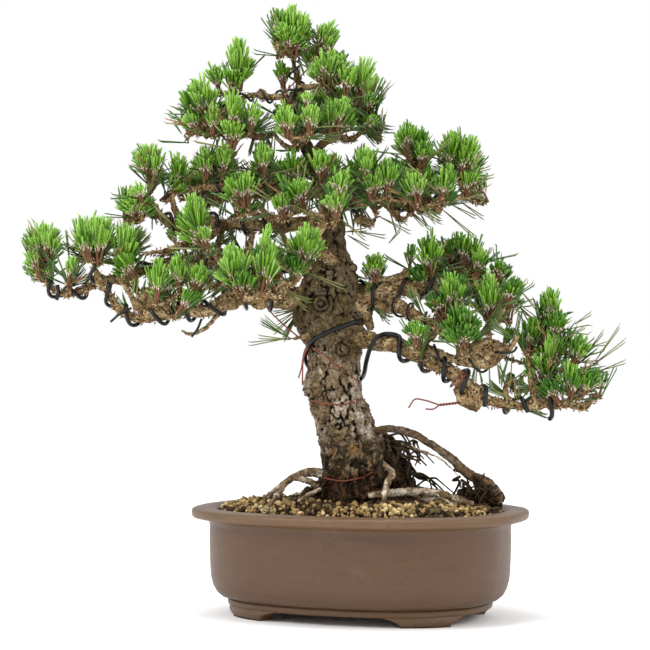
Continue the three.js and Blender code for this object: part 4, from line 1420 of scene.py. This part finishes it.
# A cluster of candles: its foot and axis, how far its tips reach and its half width there, its count of
# candles, how much light it gets, and whether the front view gave its place
Tuft = collections.namedtuple("Tuft", "foot axis reach half_width count light measured")


def light_on(place, normal):
    """How much light a part of the crown gets: more if it is high, faces up or front, or is at the left."""
    low, high = TUFTS_LOW * MM, TUFTS_HIGH * MM
    return 0.45 * normal[2] + 0.35 * (place[2] - low) / (high - low) - 0.2 * normal[1] - 1.3 * place[0]


def shown_by_front(point):
    """Whether a point, as seen in the front view, falls on one of its tufts or close around it."""
    wide, low = AROUND_TUFTS
    fans = np.array(FRONT_TUFTS, float)
    spans = fans[:, 2:4] - fans[:, 0:2]
    reaches = np.linalg.norm(spans, axis=1)
    away = shown_at(point) - fans[:, 0:2]
    along = (away * spans).sum(axis=1) / reaches**2
    aside = np.abs(away[:, 0] * spans[:, 1] - away[:, 1] * spans[:, 0]) / reaches / fans[:, 4]
    flanks = wide * (0.35 + 0.7 * np.maximum(along, 0))
    return bool(((along > low) & (along < 1.02 - 0.12 * aside**2) & (aside < flanks)).any())


def front_tufts():
    """The front view's tufts, each as deep as the first mass that the view meets there."""
    needles = sizes("needles")
    _, whole = mass_shells()
    rng = draws(8)
    made = []
    for foot_across, foot_up, tip_across, tip_up, half_width in FRONT_TUFTS:
        middle = seen((foot_across + tip_across) / 2, (foot_up + tip_up) / 2, 0)
        met, _, _, _ = whole.ray_cast(Vector(EYE), Vector(unit(middle - EYE)))
        if met is None:
            met, _, _, _ = whole.find_nearest(Vector(middle))
        back = (met.y - POT_MIDDLE[1]) / MM + half_width
        foot = seen(foot_across, foot_up, back)
        span = seen(tip_across, tip_up, back - 0.15 * (tip_up - foot_up)) - foot
        reach = float(np.linalg.norm(span))
        wide = half_width * MM
        count = max(3, round(needles.candles * wide / needles.half_width))
        light = light_on(foot, UP) + rng.normal(0, 0.16)
        made.append(Tuft(foot, span / reach, reach, wide, count, light, True))
    return made


@functools.cache
def tufts():
    """The front view's tufts, and tufts spread over the open faces of every mass, whose needles end at the
    mass's surface and leave the front view's gaps open."""
    needles = sizes("needles")
    shells, whole = mass_shells()
    found = front_tufts()
    tops = np.array([tuft.foot + tuft.axis * tuft.reach for tuft in found])
    for order, (name, (points, faces, tree)) in enumerate(shells.items()):
        if name in BARE_MASSES:
            continue
        rng = np.random.default_rng((needles.seed, order))
        corners = points[faces]
        normals = np.cross(corners[:, 1] - corners[:, 0], corners[:, 2] - corners[:, 0])
        areas = np.linalg.norm(normals, axis=1) / 2
        normals = unit(normals)
        tries = int(areas.sum() / needles.spacing**2 * 30)
        for face in rng.choice(len(faces), tries, p=areas / areas.sum()):
            share = rng.dirichlet((1, 1, 1))
            top, normal = share @ corners[face], normals[face]
            if rng.uniform() > (normal[2] + 0.5) / 0.7:
                continue
            room = needles.spacing * (1.0 if normal[2] > 0 else 1.15)
            if np.linalg.norm(tops - top, axis=1).min() < room or outside(top + normal * 0.006, whole) < 0:
                continue
            axis = unit(0.55 * normal + 0.72 * UP + rng.normal(0, 0.10, 3))
            _, _, _, depth = tree.ray_cast(Vector(top - axis * 0.001), Vector(-axis))
            reach = float(np.clip(0.92 * (depth or 0), needles.least_reach, needles.reach))
            if not shown_by_front(top - axis * 0.4 * reach):
                continue
            # Painted shade: seeded tufts, deeper in the crown than the front view's, start a little darker
            light = light_on(top, normal) + rng.normal(-0.1, 0.16)
            size = reach, needles.half_width, needles.candles
            found.append(Tuft(top - axis * reach, axis, *size, light, False))
            tops = np.vstack((tops, top))
    return found


class Candles:
    """Every candle of the crown as arrays: foot, axis, stem, how far its needles reach and spread, light,
    and two directions across it."""

    def __init__(self):
        needles = sizes("needles")
        rng = draws(2)
        _, whole = mass_shells()
        rows = []
        for tuft in tufts():
            side = unit(np.cross(tuft.axis, rng.normal(size=3)))
            other = np.cross(tuft.axis, side)
            start = rng.uniform(0, WHOLE_TURN)
            for i in range(tuft.count):
                share = math.sqrt((i + 0.4) / tuft.count)
                out = around(side, other, start + i * GOLDEN_ANGLE) * share
                out = out * (1.12 * tuft.half_width - 0.8 * needles.bunch)
                foot = tuft.foot + 0.3 * out + tuft.axis * rng.uniform(-0.004, 0.004)
                rise = tuft.reach * (1.07 - 0.38 * share**2) * rng.uniform(0.90, 1.04)
                tip = tuft.foot + out + tuft.axis * rise
                if not tuft.measured and outside(tip, whole) > 0.004:
                    continue
                if not tuft.measured and not shown_by_front(tip):
                    continue
                reach = np.linalg.norm(tip - foot)
                stem = reach * rng.uniform(0.36, 0.52)
                light = tuft.light + rng.normal(0, 0.16)
                spread = min(needles.bunch, 0.75 * tuft.half_width)
                rows.append((foot, (tip - foot) / reach, stem, reach, light, spread))
        columns = [np.array(column) for column in zip(*rows)]
        self.feet, self.axes, self.stems, self.reaches, self.lights, self.spreads = columns
        self.sides = unit(np.cross(self.axes, rng.normal(size=self.axes.shape)))
        self.others = np.cross(self.axes, self.sides)


@functools.cache
def carrying_places():
    """Points along the limbs, and the feet of the front view's tufts, which may carry old needles."""
    limbs = [limb_route(stations, LIMB_STEP)[:, :3] for stations in (*BOUGHS.values(), *SIDE_TWIGS)]
    return np.vstack([*limbs, *(tuft.foot[None] for tuft in tufts() if tuft.measured)])


@functools.cache
def candles():
    """The crown's candles, drawn once."""
    return Candles()


def ring_of_three(along, radius):
    """Three points round each direction, in the plane across it."""
    side = unit(np.cross(along, np.where(np.abs(along[:, 2:3]) < 0.9, UP, (1.0, 0.0, 0.0))))
    other = np.cross(along, side)
    angles = np.arange(3)[:, None] * WHOLE_TURN / 3
    return around(side[:, None], other[:, None], angles) * radius


# Faces of one needle, of seven points, and of one sheath, of four
NEEDLE_FACES = [
    (0, 2, 1), (0, 1, 4), (0, 4, 3), (1, 2, 5), (1, 5, 4), (2, 0, 3), (2, 3, 5), (3, 4, 6), (4, 5, 6),
    (5, 3, 6),
]
SHEATH_FACES = [(0, 2, 1), (0, 3, 2), (0, 1, 3), (1, 2, 3)]
# Pieces end at multiples of this count of faces, so none ends inside a needle or a sheath
WHOLE_SHAPES = math.lcm(len(NEEDLE_FACES), len(SHEATH_FACES))


def repeated(shape, corners, count):
    """The faces of one small shape of so many corners, counted on for each copy."""
    return (np.array(shape)[None] + (np.arange(count) * corners)[:, None, None]).reshape(-1, 3)


def needle_arrays(roots, tips, bows, widths):
    """Points and faces of three-sided needles, each from its root through a bowed middle to its tip."""
    ring = ring_of_three(unit(tips - roots), widths[:, :, None] / 2)
    base = roots[:, None] + 0.8 * ring
    middle = (roots + 0.88 * (tips - roots) + bows)[:, None] + ring
    points = np.concatenate((base, middle, tips[:, None]), axis=1)
    return points.reshape(-1, 3), repeated(NEEDLE_FACES, 7, len(roots))


def sheath_arrays(roots, ends, width):
    """Points and faces of sheaths, each a spike that widens from its root to its end."""
    ring = ends[:, None] + ring_of_three(unit(ends - roots), width / 2)
    points = np.concatenate((roots[:, None], ring), axis=1)
    return points.reshape(-1, 3), repeated(SHEATH_FACES, 4, len(roots))


def needle_pieces(name, arrays, material):
    """Makes needles, given as points and faces, into pieces under the limit of triangles."""
    points, faces = arrays
    parts = math.ceil(len(faces) / MOST_TRIANGLES)
    each = math.ceil(len(faces) / parts / WHOLE_SHAPES) * WHOLE_SHAPES
    for i in range(parts):
        chosen = faces[i * each : (i + 1) * each]
        low, high = chosen.min(), chosen.max() + 1
        label = name if parts == 1 else f"{name}_{i + 1}"
        settle(mesh_of(label, points[low:high], chosen - low), label, material)


def needle_finish(tint):
    """A plain needle green with a faint gloss."""
    return plain_finish(tint, tint, 0.36, 0.4, 0.003, 0.0001)


class BONSAI_OT_new_needles(bpy.types.Operator):
    """Fans pairs of bright new needles out of papery sheaths round the end of every candle."""

    bl_idname = "bonsai.new_needles"
    bl_label = "New Needles"

    def execute(self, context):
        needles = sizes("needles")
        crown = candles()
        rng = draws(3)
        roots, aim, long, out = self.pairs(crown, rng)
        sheath = 0.0042 * rng.uniform(0.8, 1.2, long.shape)
        starts = roots + aim * sheath[..., None]
        halves = self.halves(crown, starts, aim, long - sheath, out, rng)
        starts, tips, bows, widths, shades = (np.stack(parts, axis=1) for parts in zip(*halves))
        for i, tint in enumerate(SHADES):
            rows = [part[shades == i] for part in (starts, tips, bows, widths)]
            needle_pieces("new_" + tint, needle_arrays(*rows), needle_finish(tint))
        finish = plain_finish("sheath", "sheath", 0.7, 0.3, 0.002, 0.0002)
        ends = roots + aim * (sheath[..., None] + 0.0012)
        feet, ends = roots.reshape(-1, 3), ends.reshape(-1, 3)
        needle_pieces("sheaths", sheath_arrays(feet, ends, 1.35 * needles.width), finish)
        return {"FINISHED"}

    def pairs(self, crown, rng):
        """Root, aim, length and outward direction of every pair of needles, by candle and pair."""
        count = sizes("needles").pairs
        shape = len(crown.feet), count
        outer = (np.arange(count) + 0.5) / count
        turn = np.arange(count) * GOLDEN_ANGLE + rng.uniform(0, WHOLE_TURN, (shape[0], 1))
        out = around(crown.sides[:, None], crown.others[:, None], turn[..., None])
        along = crown.stems[:, None] * (1.0 - 0.4 * outer)
        roots = crown.feet[:, None] + along[..., None] * crown.axes[:, None] + 0.001 * out
        high = crown.reaches[:, None] * (1 - 0.12 * outer) * rng.normal(1.0, 0.07, shape)
        aside = crown.spreads[:, None] * outer**0.45 * rng.uniform(0.7, 1.2, shape)
        aim = high[..., None] * crown.axes[:, None] + aside[..., None] * out + crown.feet[:, None] - roots
        long = np.linalg.norm(aim, axis=2)
        return roots, aim / long[..., None], long, out

    def halves(self, crown, starts, aim, long, out, rng):
        """Both needles of every pair: where they start and end, their bows, widths and shades."""
        split = rng.uniform(0.02, 0.07, long.shape)[..., None]
        across = unit(np.cross(aim, rng.normal(size=aim.shape)))
        halves = []
        for side in (-1, 1):
            tips = starts + unit(aim + side * split * across) * long[..., None]
            bows = 0.0006 * rng.normal(size=aim.shape) - 0.0006 * out
            widths = sizes("needles").width * rng.uniform(0.85, 1.2, (*long.shape, 1))
            # Painted light and shade: each needle's green is picked by the light on its tuft and candle,
            # with a random spread
            lights = crown.lights[:, None] + rng.normal(0, 0.24, long.shape)
            halves.append((starts, tips, bows, widths, np.digitize(lights, SHADE_STEPS)))
        return halves


class BONSAI_OT_old_needles(bpy.types.Operator):
    """Spreads the longer, darker needles of last year sideways below every tuft."""

    bl_idname = "bonsai.old_needles"
    bl_label = "Old Needles"

    def execute(self, context):
        rng = draws(4)
        made = {tint: [] for tint in OLD_TINTS}
        for tuft in tufts():
            self.under(tuft, made, rng)
        for *place, pairs in OLD_FANS:
            made["needle_old"] += self.fan(*place, math.ceil(pairs / 2), rng)
            made["needle_olive"] += self.fan(*place, pairs // 2, rng)
        for row in STRAY_NEEDLES:
            made["needle_olive"] += self.fan(*row, 1, 1, rng)
        for tint, rows in made.items():
            columns = (np.array(column) for column in zip(*rows))
            needle_pieces("old_" + tint, needle_arrays(*columns), needle_finish(tint))
        return {"FINISHED"}

    def under(self, tuft, made, rng):
        """Adds the pairs that spread from a tuft's foot and stay within the masses, by tint."""
        needles = sizes("needles")
        _, whole = mass_shells()
        side = unit(np.cross(tuft.axis, rng.normal(size=3)))
        other = np.cross(tuft.axis, side)
        most = max(3, round(needles.old_pairs * tuft.reach / needles.reach))
        for i in range(rng.integers(most - 2, most + 3)):
            out = around(side, other, i * GOLDEN_ANGLE + rng.uniform(-0.4, 0.4))
            aim = unit(around(tuft.axis, out, math.radians(rng.uniform(22, 90))))
            if aim[2] < -0.05:
                continue
            root = tuft.foot + tuft.axis * rng.uniform(-0.006, 0.012)
            tint = rng.choice(list(OLD_TINTS), p=list(OLD_TINTS.values()))
            long = needles.old_length * rng.normal(1.0, 0.15)
            if tint == "needle_olive":
                long *= 1.15
            if outside(root + aim * long, whole) > 0.006:
                continue
            for half in (-1, 1):
                way = unit(aim + half * 0.09 * unit(np.cross(aim, rng.normal(size=3))))
                bow = 0.0016 * rng.normal(size=3) - UP * 0.0006
                width = needles.width * rng.uniform(0.8, 1.05)
                made[tint].append((root, root + way * long, bow, (width,)))

    def fan(self, root_across, root_up, tip_across, tip_up, half_width, pairs, rng):
        """Pairs of long needles that the front view shows, as deep as the nearest wood or tuft."""
        width = (0.8 * sizes("needles").width,)
        carriers = carrying_places()
        away = np.linalg.norm(shown_at(carriers) - (root_across, root_up), axis=1)
        back = (carriers[away.argmin(), 1] - POT_MIDDLE[1]) / MM
        across = unit(np.array((tip_up - root_up, root_across - tip_across), float))
        rows = []
        for _ in range(pairs):
            aside = across * rng.uniform(-1.2, 1.2) * half_width
            start = (root_across, root_up) + 0.2 * aside + rng.normal(0, 1.2, 2)
            root = seen(*start, back + rng.normal(0, 2))
            tip = seen(tip_across + aside[0], tip_up + aside[1], back - 4 + rng.normal(0, 3))
            tip = root + (tip - root) * rng.uniform(0.85, 1.05)
            rows += [(root, tip + side * 0.0018 * UP, -0.001 * UP, width) for side in (-1, 1)]
        return rows


@functools.cache
def twig_routes():
    """Twigs that grow to every tuft's foot, nearest first, each from the nearest limb or twig so far."""
    rng = draws(5)
    limbs = [limb_route(stations, 6 * MM) for stations in (TRUNK[12:], *BOUGHS.values(), *SIDE_TWIGS)]
    wood = np.vstack([route[:, :3] for route in limbs])
    owner = np.full(len(wood), -1)
    feet = np.array([tuft.foot for tuft in tufts()])
    axes = np.array([tuft.axis for tuft in tufts()])
    nearest = np.full(len(feet), np.inf)
    source = np.zeros(len(feet), int)
    waiting = np.ones(len(feet), bool)

    def reach_from(first):
        """Lets the wood from this row on offer each waiting foot a shorter way."""
        gaps = feet[:, None] - wood[None, first:]
        cost = np.linalg.norm(gaps, axis=2) + 0.7 * np.maximum(0, -gaps[..., 2])
        best, least = cost.argmin(axis=1), cost.min(axis=1)
        cheaper = least < nearest
        nearest[cheaper] = least[cheaper]
        source[cheaper] = best[cheaper] + first

    reach_from(0)
    routes, parents = [], []
    while waiting.any():
        i = int(np.where(waiting, nearest, np.inf).argmin())
        way = twig_way(wood[source[i]], feet[i], axes[i], rng)
        parents.append(int(owner[source[i]]))
        waiting[i] = False
        grown = len(wood)
        wood = np.vstack((wood, way[1:]))
        owner = np.concatenate((owner, np.full(len(way) - 1, len(routes))))
        routes.append(way)
        nearest[~waiting] = -1
        reach_from(grown)
    return thickened(routes, parents)


def twig_way(start, end, axis, rng):
    """Points of a twig that bends from the wood up into the axis of its tuft."""
    span = np.linalg.norm(end - start)
    out = unit(end - start + UP * 0.2 * span + rng.normal(0, 0.18 * span, 3))
    t = np.linspace(0, 1, max(4, round(span / 0.006)))[:, None]
    first, second = start + out * 0.4 * span, end - axis * 0.3 * span
    way = (1 - t) ** 3 * start + 3 * (1 - t) ** 2 * t * first + 3 * (1 - t) * t**2 * second + t**3 * end
    way[1:-1] += rng.normal(0, 0.0007, way[1:-1].shape)
    return way


def thickened(routes, parents):
    """Twigs with a radius beside each point, by how many later twigs each carries."""
    carried = np.ones(len(routes))
    for i in range(len(routes) - 1, -1, -1):
        if parents[i] >= 0:
            carried[parents[i]] += carried[i]
    made = []
    for way, thick in zip(routes, np.minimum(2.0 * carried**0.34, 4.8) * MM):
        radii = np.linspace(1.15 * thick, max(0.8 * thick, 2.0 * MM), len(way))
        made.append(np.hstack((way, radii[:, None])))
    return made


class BONSAI_OT_twigs(bpy.types.Operator):
    """Builds the scaly twigs of the crown and the reddish candles at their ends."""

    bl_idname = "bonsai.twigs"
    bl_label = "Twigs and Candles"

    def execute(self, context):
        bark = sizes("bark")
        twigs = tubes("twigs", [smooth_route(way, 2.4 * MM) for way in twig_routes()], sides=8)
        relief = relief_nodes("twig_relief", 0.75 * bark.scale, 0.9 * bark.scale_depth, lumps=0.0016)
        modified(twigs, "NODES", node_group=relief)
        finish = bark_finish("twig_bark", "bough", "bough_warm", "bough_dark")
        settle(twigs, "twigs", finish)
        self.bracts()
        crown = candles()
        rng = draws(6)
        routes = []
        shares = np.array(((0.0,), (0.4,), (0.8,), (1.0,)))
        radii = np.array(((0.0014,), (0.0013,), (0.0012,), (0.0006,)))
        for foot, axis, stem in zip(crown.feet, crown.axes, crown.stems):
            way = foot + axis * stem * shares + rng.normal(0, 0.0003, (4, 3))
            routes.append(np.hstack((way, radii)))
        buds = tubes("candles", routes, sides=6)
        settle(buds, "candles", plain_finish("candle", "bud", 0.75, 0.3, 0.0015, 0.0006))
        return {"FINISHED"}

    def bracts(self):
        """Dry bracts and the stubs of shed needles, which stand off the twigs and the outer boughs."""
        rng = draws(7)
        roots, aims = [], []
        boughs = [limb_route(stations, 2 * MM) for stations in BOUGHS.values()]
        twigs = [smooth_route(way, 2 * MM) for way in twig_routes()]
        for way in [*(way[len(way) // 3 :] for way in boughs), *twigs]:
            tangents, normals, binormals = turning_frames(way[:, :3])
            count = int(len(way) * 2.4)
            rows = rng.integers(0, len(way), count)
            out = around(normals[rows], binormals[rows], rng.uniform(0, WHOLE_TURN, (count, 1)))
            roots.append(way[rows, :3] + out * way[rows, 3:])
            aims.append(unit(out + rng.uniform(0.2, 1.6, (count, 1)) * tangents[rows]))
        roots, aims = np.vstack(roots), np.vstack(aims)
        ends = roots + aims * rng.uniform(0.0015, 0.0042, (len(roots), 1))
        for i, tint in enumerate(("bough_warm", "bud", "bough_pale")):
            rows = slice(i, None, 3)
            points, faces = sheath_arrays(ends[rows], roots[rows] - 0.0004 * aims[rows], 0.0022)
            finish = plain_finish("bract_" + tint, tint, 0.9, 0.2, 0.001, 0.0003)
            settle(mesh_of("bracts_" + tint, points, faces), "bracts_" + tint, finish)


# The wires


def coil(stations, first, last, turns, gauge, phase, stand=0.0008):
    """A wire wound round a limb between two shares of its length."""
    route = limb_route(stations, 2 * MM)
    tangents, normals, binormals = turning_frames(route[:, :3])
    count = int(abs(turns) * 22) + 8
    share = np.linspace(first, last, count) * (len(route) - 1)
    rows = np.arange(len(route))

    def along(values):
        """Rows beside the limb's points as rows beside the wire's."""
        return np.stack([np.interp(share, rows, column) for column in values.T], axis=-1)

    angles = phase + np.linspace(0, WHOLE_TURN * turns, count)
    out = unit(around(along(normals), along(binormals), angles[:, None]))
    ring = np.interp(share, rows, route[:, 3]) + gauge / 2 + stand
    return along(route[:, :3]) + out * ring[:, None]


def round_trunk(places, gauge, stand):
    """Points beside the trunk, from pairs of height in millimetres and degrees from the front rightward."""
    trunk = limb_route(TRUNK, 2 * MM)
    rows = []
    for height, degrees in places:
        centre = trunk[np.abs(trunk[:, 2] - height * MM).argmin()]
        angle = math.radians(degrees)
        out = np.array((math.sin(angle), -math.cos(angle), 0.0))
        rows.append(centre[:3] + out * (centre[3] + gauge / 2 + stand))
    return np.array(rows)


def on_bark(places, gauge, stand=0.0):
    """Points of a wire that lies on the trunk's bark, from pairs of across and up in the front view."""
    surface = surface_of(bpy.data.objects["trunk_bark"])
    rows = []
    for across, up in places:
        aim = unit(seen(across, up, 0) - EYE)
        met, _, _, _ = surface.ray_cast(Vector(EYE), Vector(aim))
        if met is None:
            raise RuntimeError(f"no bark at {across}, {up} for a wire to lie on")
        rows.append(np.array(met) - aim * (0.45 * gauge + stand))
    return np.array(rows)


def wire_route(points, gauge, step=0.003):
    """A smooth route of a wire with its radius beside each point."""
    points = np.asarray(points, float)
    return smooth_route(np.hstack((points, np.full((len(points), 1), gauge / 2))), step)


class BONSAI_OT_wires(bpy.types.Operator):
    """Winds the dark training wires round trunk and boughs, and ties the thin copper ones."""

    bl_idname = "bonsai.wires"
    bl_label = "Wires"

    def execute(self, context):
        dark = tubes("training_wires", self.dark_routes(), sides=12)
        finish = plain_finish("anodised_wire", "wire", 0.42, 0.5, 0.004, 0.0002, Metallic=0.35)
        settle(dark, "training_wires", finish)
        copper = tubes("copper_ties", self.copper_routes(), sides=8)
        finish = plain_finish("old_copper", "copper", 0.45, 0.5, 0.003, 0.0001, Metallic=0.4)
        settle(copper, "copper_ties", finish)
        return {"FINISHED"}

    def dark_routes(self):
        """The wire that crosses the trunk and winds round the lowest bough, the other windings, the ends."""
        wires = sizes("wires")
        start = round_trunk(CROSSING_START, wires.heavy, -0.001)
        front = on_bark(CROSSING_FRONT, wires.heavy)
        behind = round_trunk(CROSSING_BEHIND, wires.heavy, -0.0025)
        rise = [seen(*place) for place in CROSSING_RISE]
        low_right = coil(BOUGHS["bough_low_right"], 0.25, 0.60, 4.2, wires.heavy, 0.6)
        routes = [wire_route(np.vstack((start, front, behind, rise, low_right)), wires.heavy)]
        for limb, first, last, turns, phase, kind in WINDINGS:
            gauge = getattr(wires, kind)
            routes.append(wire_route(coil(WOUND[limb], first, last, turns, gauge, phase), gauge))
        return routes + self.hooks(("heavy", "medium", "light"))

    def hooks(self, kinds, step=0.003):
        """Free ends of these kinds of wire."""
        wires = sizes("wires")
        chosen = [(kind, [seen(*place) for place in places]) for kind, places in HOOKS if kind in kinds]
        return [wire_route(points, getattr(wires, kind), step) for kind, points in chosen]

    def copper_routes(self):
        """The thin ties on the trunk and the lowest bough, the twist beside that bough, the free ends."""
        gauge = sizes("wires").copper
        slanting = np.vstack(([seen(*place) for place in SLANTING_AWAY], on_bark(SLANTING, gauge)))
        front = on_bark(RING_FRONT, gauge, 0.0018)
        ring = np.vstack((front, round_trunk(RING_BEHIND, gauge, -0.002), front[:1]))
        low = on_bark(LOW_TIE, 2 * gauge)
        tie = coil(BOUGHS["bough_low_right"], 0.475, 0.50, 1.5, gauge, 0.5, 0.003)
        share = np.linspace(0, 1, 34)
        line = np.array([seen(80 + 26 * s, 210 + 3 * s, -59 + 2 * s) for s in share])
        angles = (share * 9 * math.pi)[:, None]
        twist = [line + 0.0009 * around(BACK, UP, side + angles) for side in (0, math.pi)]
        routes = [wire_route(points, gauge, 0.002) for points in (slanting, ring, low, tie, *twist)]
        return routes + self.hooks(("copper",), 0.002)


# The stage


def area_light(name, place, aim, size, watts):
    """A square soft light that faces a point."""
    data = bpy.data.lights.new(name, "AREA")
    data.shape = "SQUARE"
    data.size = size
    data.energy = watts
    light = bpy.data.objects.new(name, data)
    light.location = place
    light.rotation_euler = (Vector(aim) - Vector(place)).to_track_quat("-Z", "Y").to_euler()
    bpy.context.scene.collection.objects.link(light)


class BONSAI_OT_stage(bpy.types.Operator):
    """Sets up the pale floor, the soft studio light and the camera of the front view."""

    bl_idname = "bonsai.stage"
    bl_label = "Stage"

    def execute(self, context):
        scene = context.scene
        floor = added("plane", size=30)
        floor.name = "floor"
        material = bpy.data.materials.new("pale_floor")
        material.use_nodes = True
        shader = material.node_tree.nodes["Principled BSDF"]
        shader.inputs["Base Color"].default_value = (1, 1, 1, 1)
        shader.inputs["Roughness"].default_value = 0.9
        shader.inputs["Specular IOR Level"].default_value = 0.1
        floor.data.materials.append(material)
        world = bpy.data.worlds.new("studio")
        world.use_nodes = True
        world.node_tree.nodes["Background"].inputs["Color"].default_value = (1, 1, 1, 1)
        world.node_tree.nodes["Background"].inputs["Strength"].default_value = 1.0
        scene.world = world
        for name, (place, watts) in LIGHTS.items():
            area_light(name, place, LIGHTS_AIM, 1.0, watts)
        scene.view_settings.view_transform = "Standard"
        camera = bpy.data.cameras.new("front")
        camera.sensor_width = 36
        camera.lens = camera.sensor_width * EYE_BACK / (PICTURE_SIDE * MM)
        camera.shift_y = -(PICTURE_SIDE / 2 - HORIZON_ROW) / PICTURE_SIDE
        viewer = bpy.data.objects.new("front", camera)
        viewer.location = EYE
        viewer.rotation_euler = (math.radians(90), 0, 0)
        scene.collection.objects.link(viewer)
        scene.camera = viewer
        return {"FINISHED"}


class BONSAI_PT_panel(bpy.types.Panel):
    """Lists every part of the bonsai, with its sizes and colours."""

    bl_idname = "BONSAI_PT_panel"
    bl_label = "Bonsai"
    bl_space_type = "VIEW_3D"
    bl_region_type = "UI"
    bl_category = "Bonsai"

    def draw(self, context):
        for operator in OPERATORS:
            self.layout.operator(operator.bl_idname)
        for name, group in GROUPS.items():
            box = self.layout.box()
            box.label(text=group.__name__)
            for setting in group.__annotations__:
                box.prop(getattr(context.scene, name), setting)


OPERATORS = (
    BONSAI_OT_stage,
    BONSAI_OT_pot,
    BONSAI_OT_soil,
    BONSAI_OT_trunk,
    BONSAI_OT_boughs,
    BONSAI_OT_roots,
    BONSAI_OT_new_needles,
    BONSAI_OT_old_needles,
    BONSAI_OT_twigs,
    BONSAI_OT_wires,
)


def register():
    for kind in (*GROUPS.values(), *OPERATORS, BONSAI_PT_panel):
        bpy.utils.register_class(kind)
    for name, group in GROUPS.items():
        setattr(bpy.types.Scene, name, PointerProperty(type=group))


def unregister():
    for name in GROUPS:
        delattr(bpy.types.Scene, name)
    for kind in reversed((*GROUPS.values(), *OPERATORS, BONSAI_PT_panel)):
        bpy.utils.unregister_class(kind)


def stand_in_for_masses():
    """The twigs, with the needles on them, stand for every foliage mass."""
    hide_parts(*masses())


def main():
    register()
    for operator in OPERATORS:
        package, name = operator.bl_idname.split(".")
        getattr(getattr(bpy.ops, package), name)()
    stand_in_for_masses()


if __name__ == "__main__":
    main()
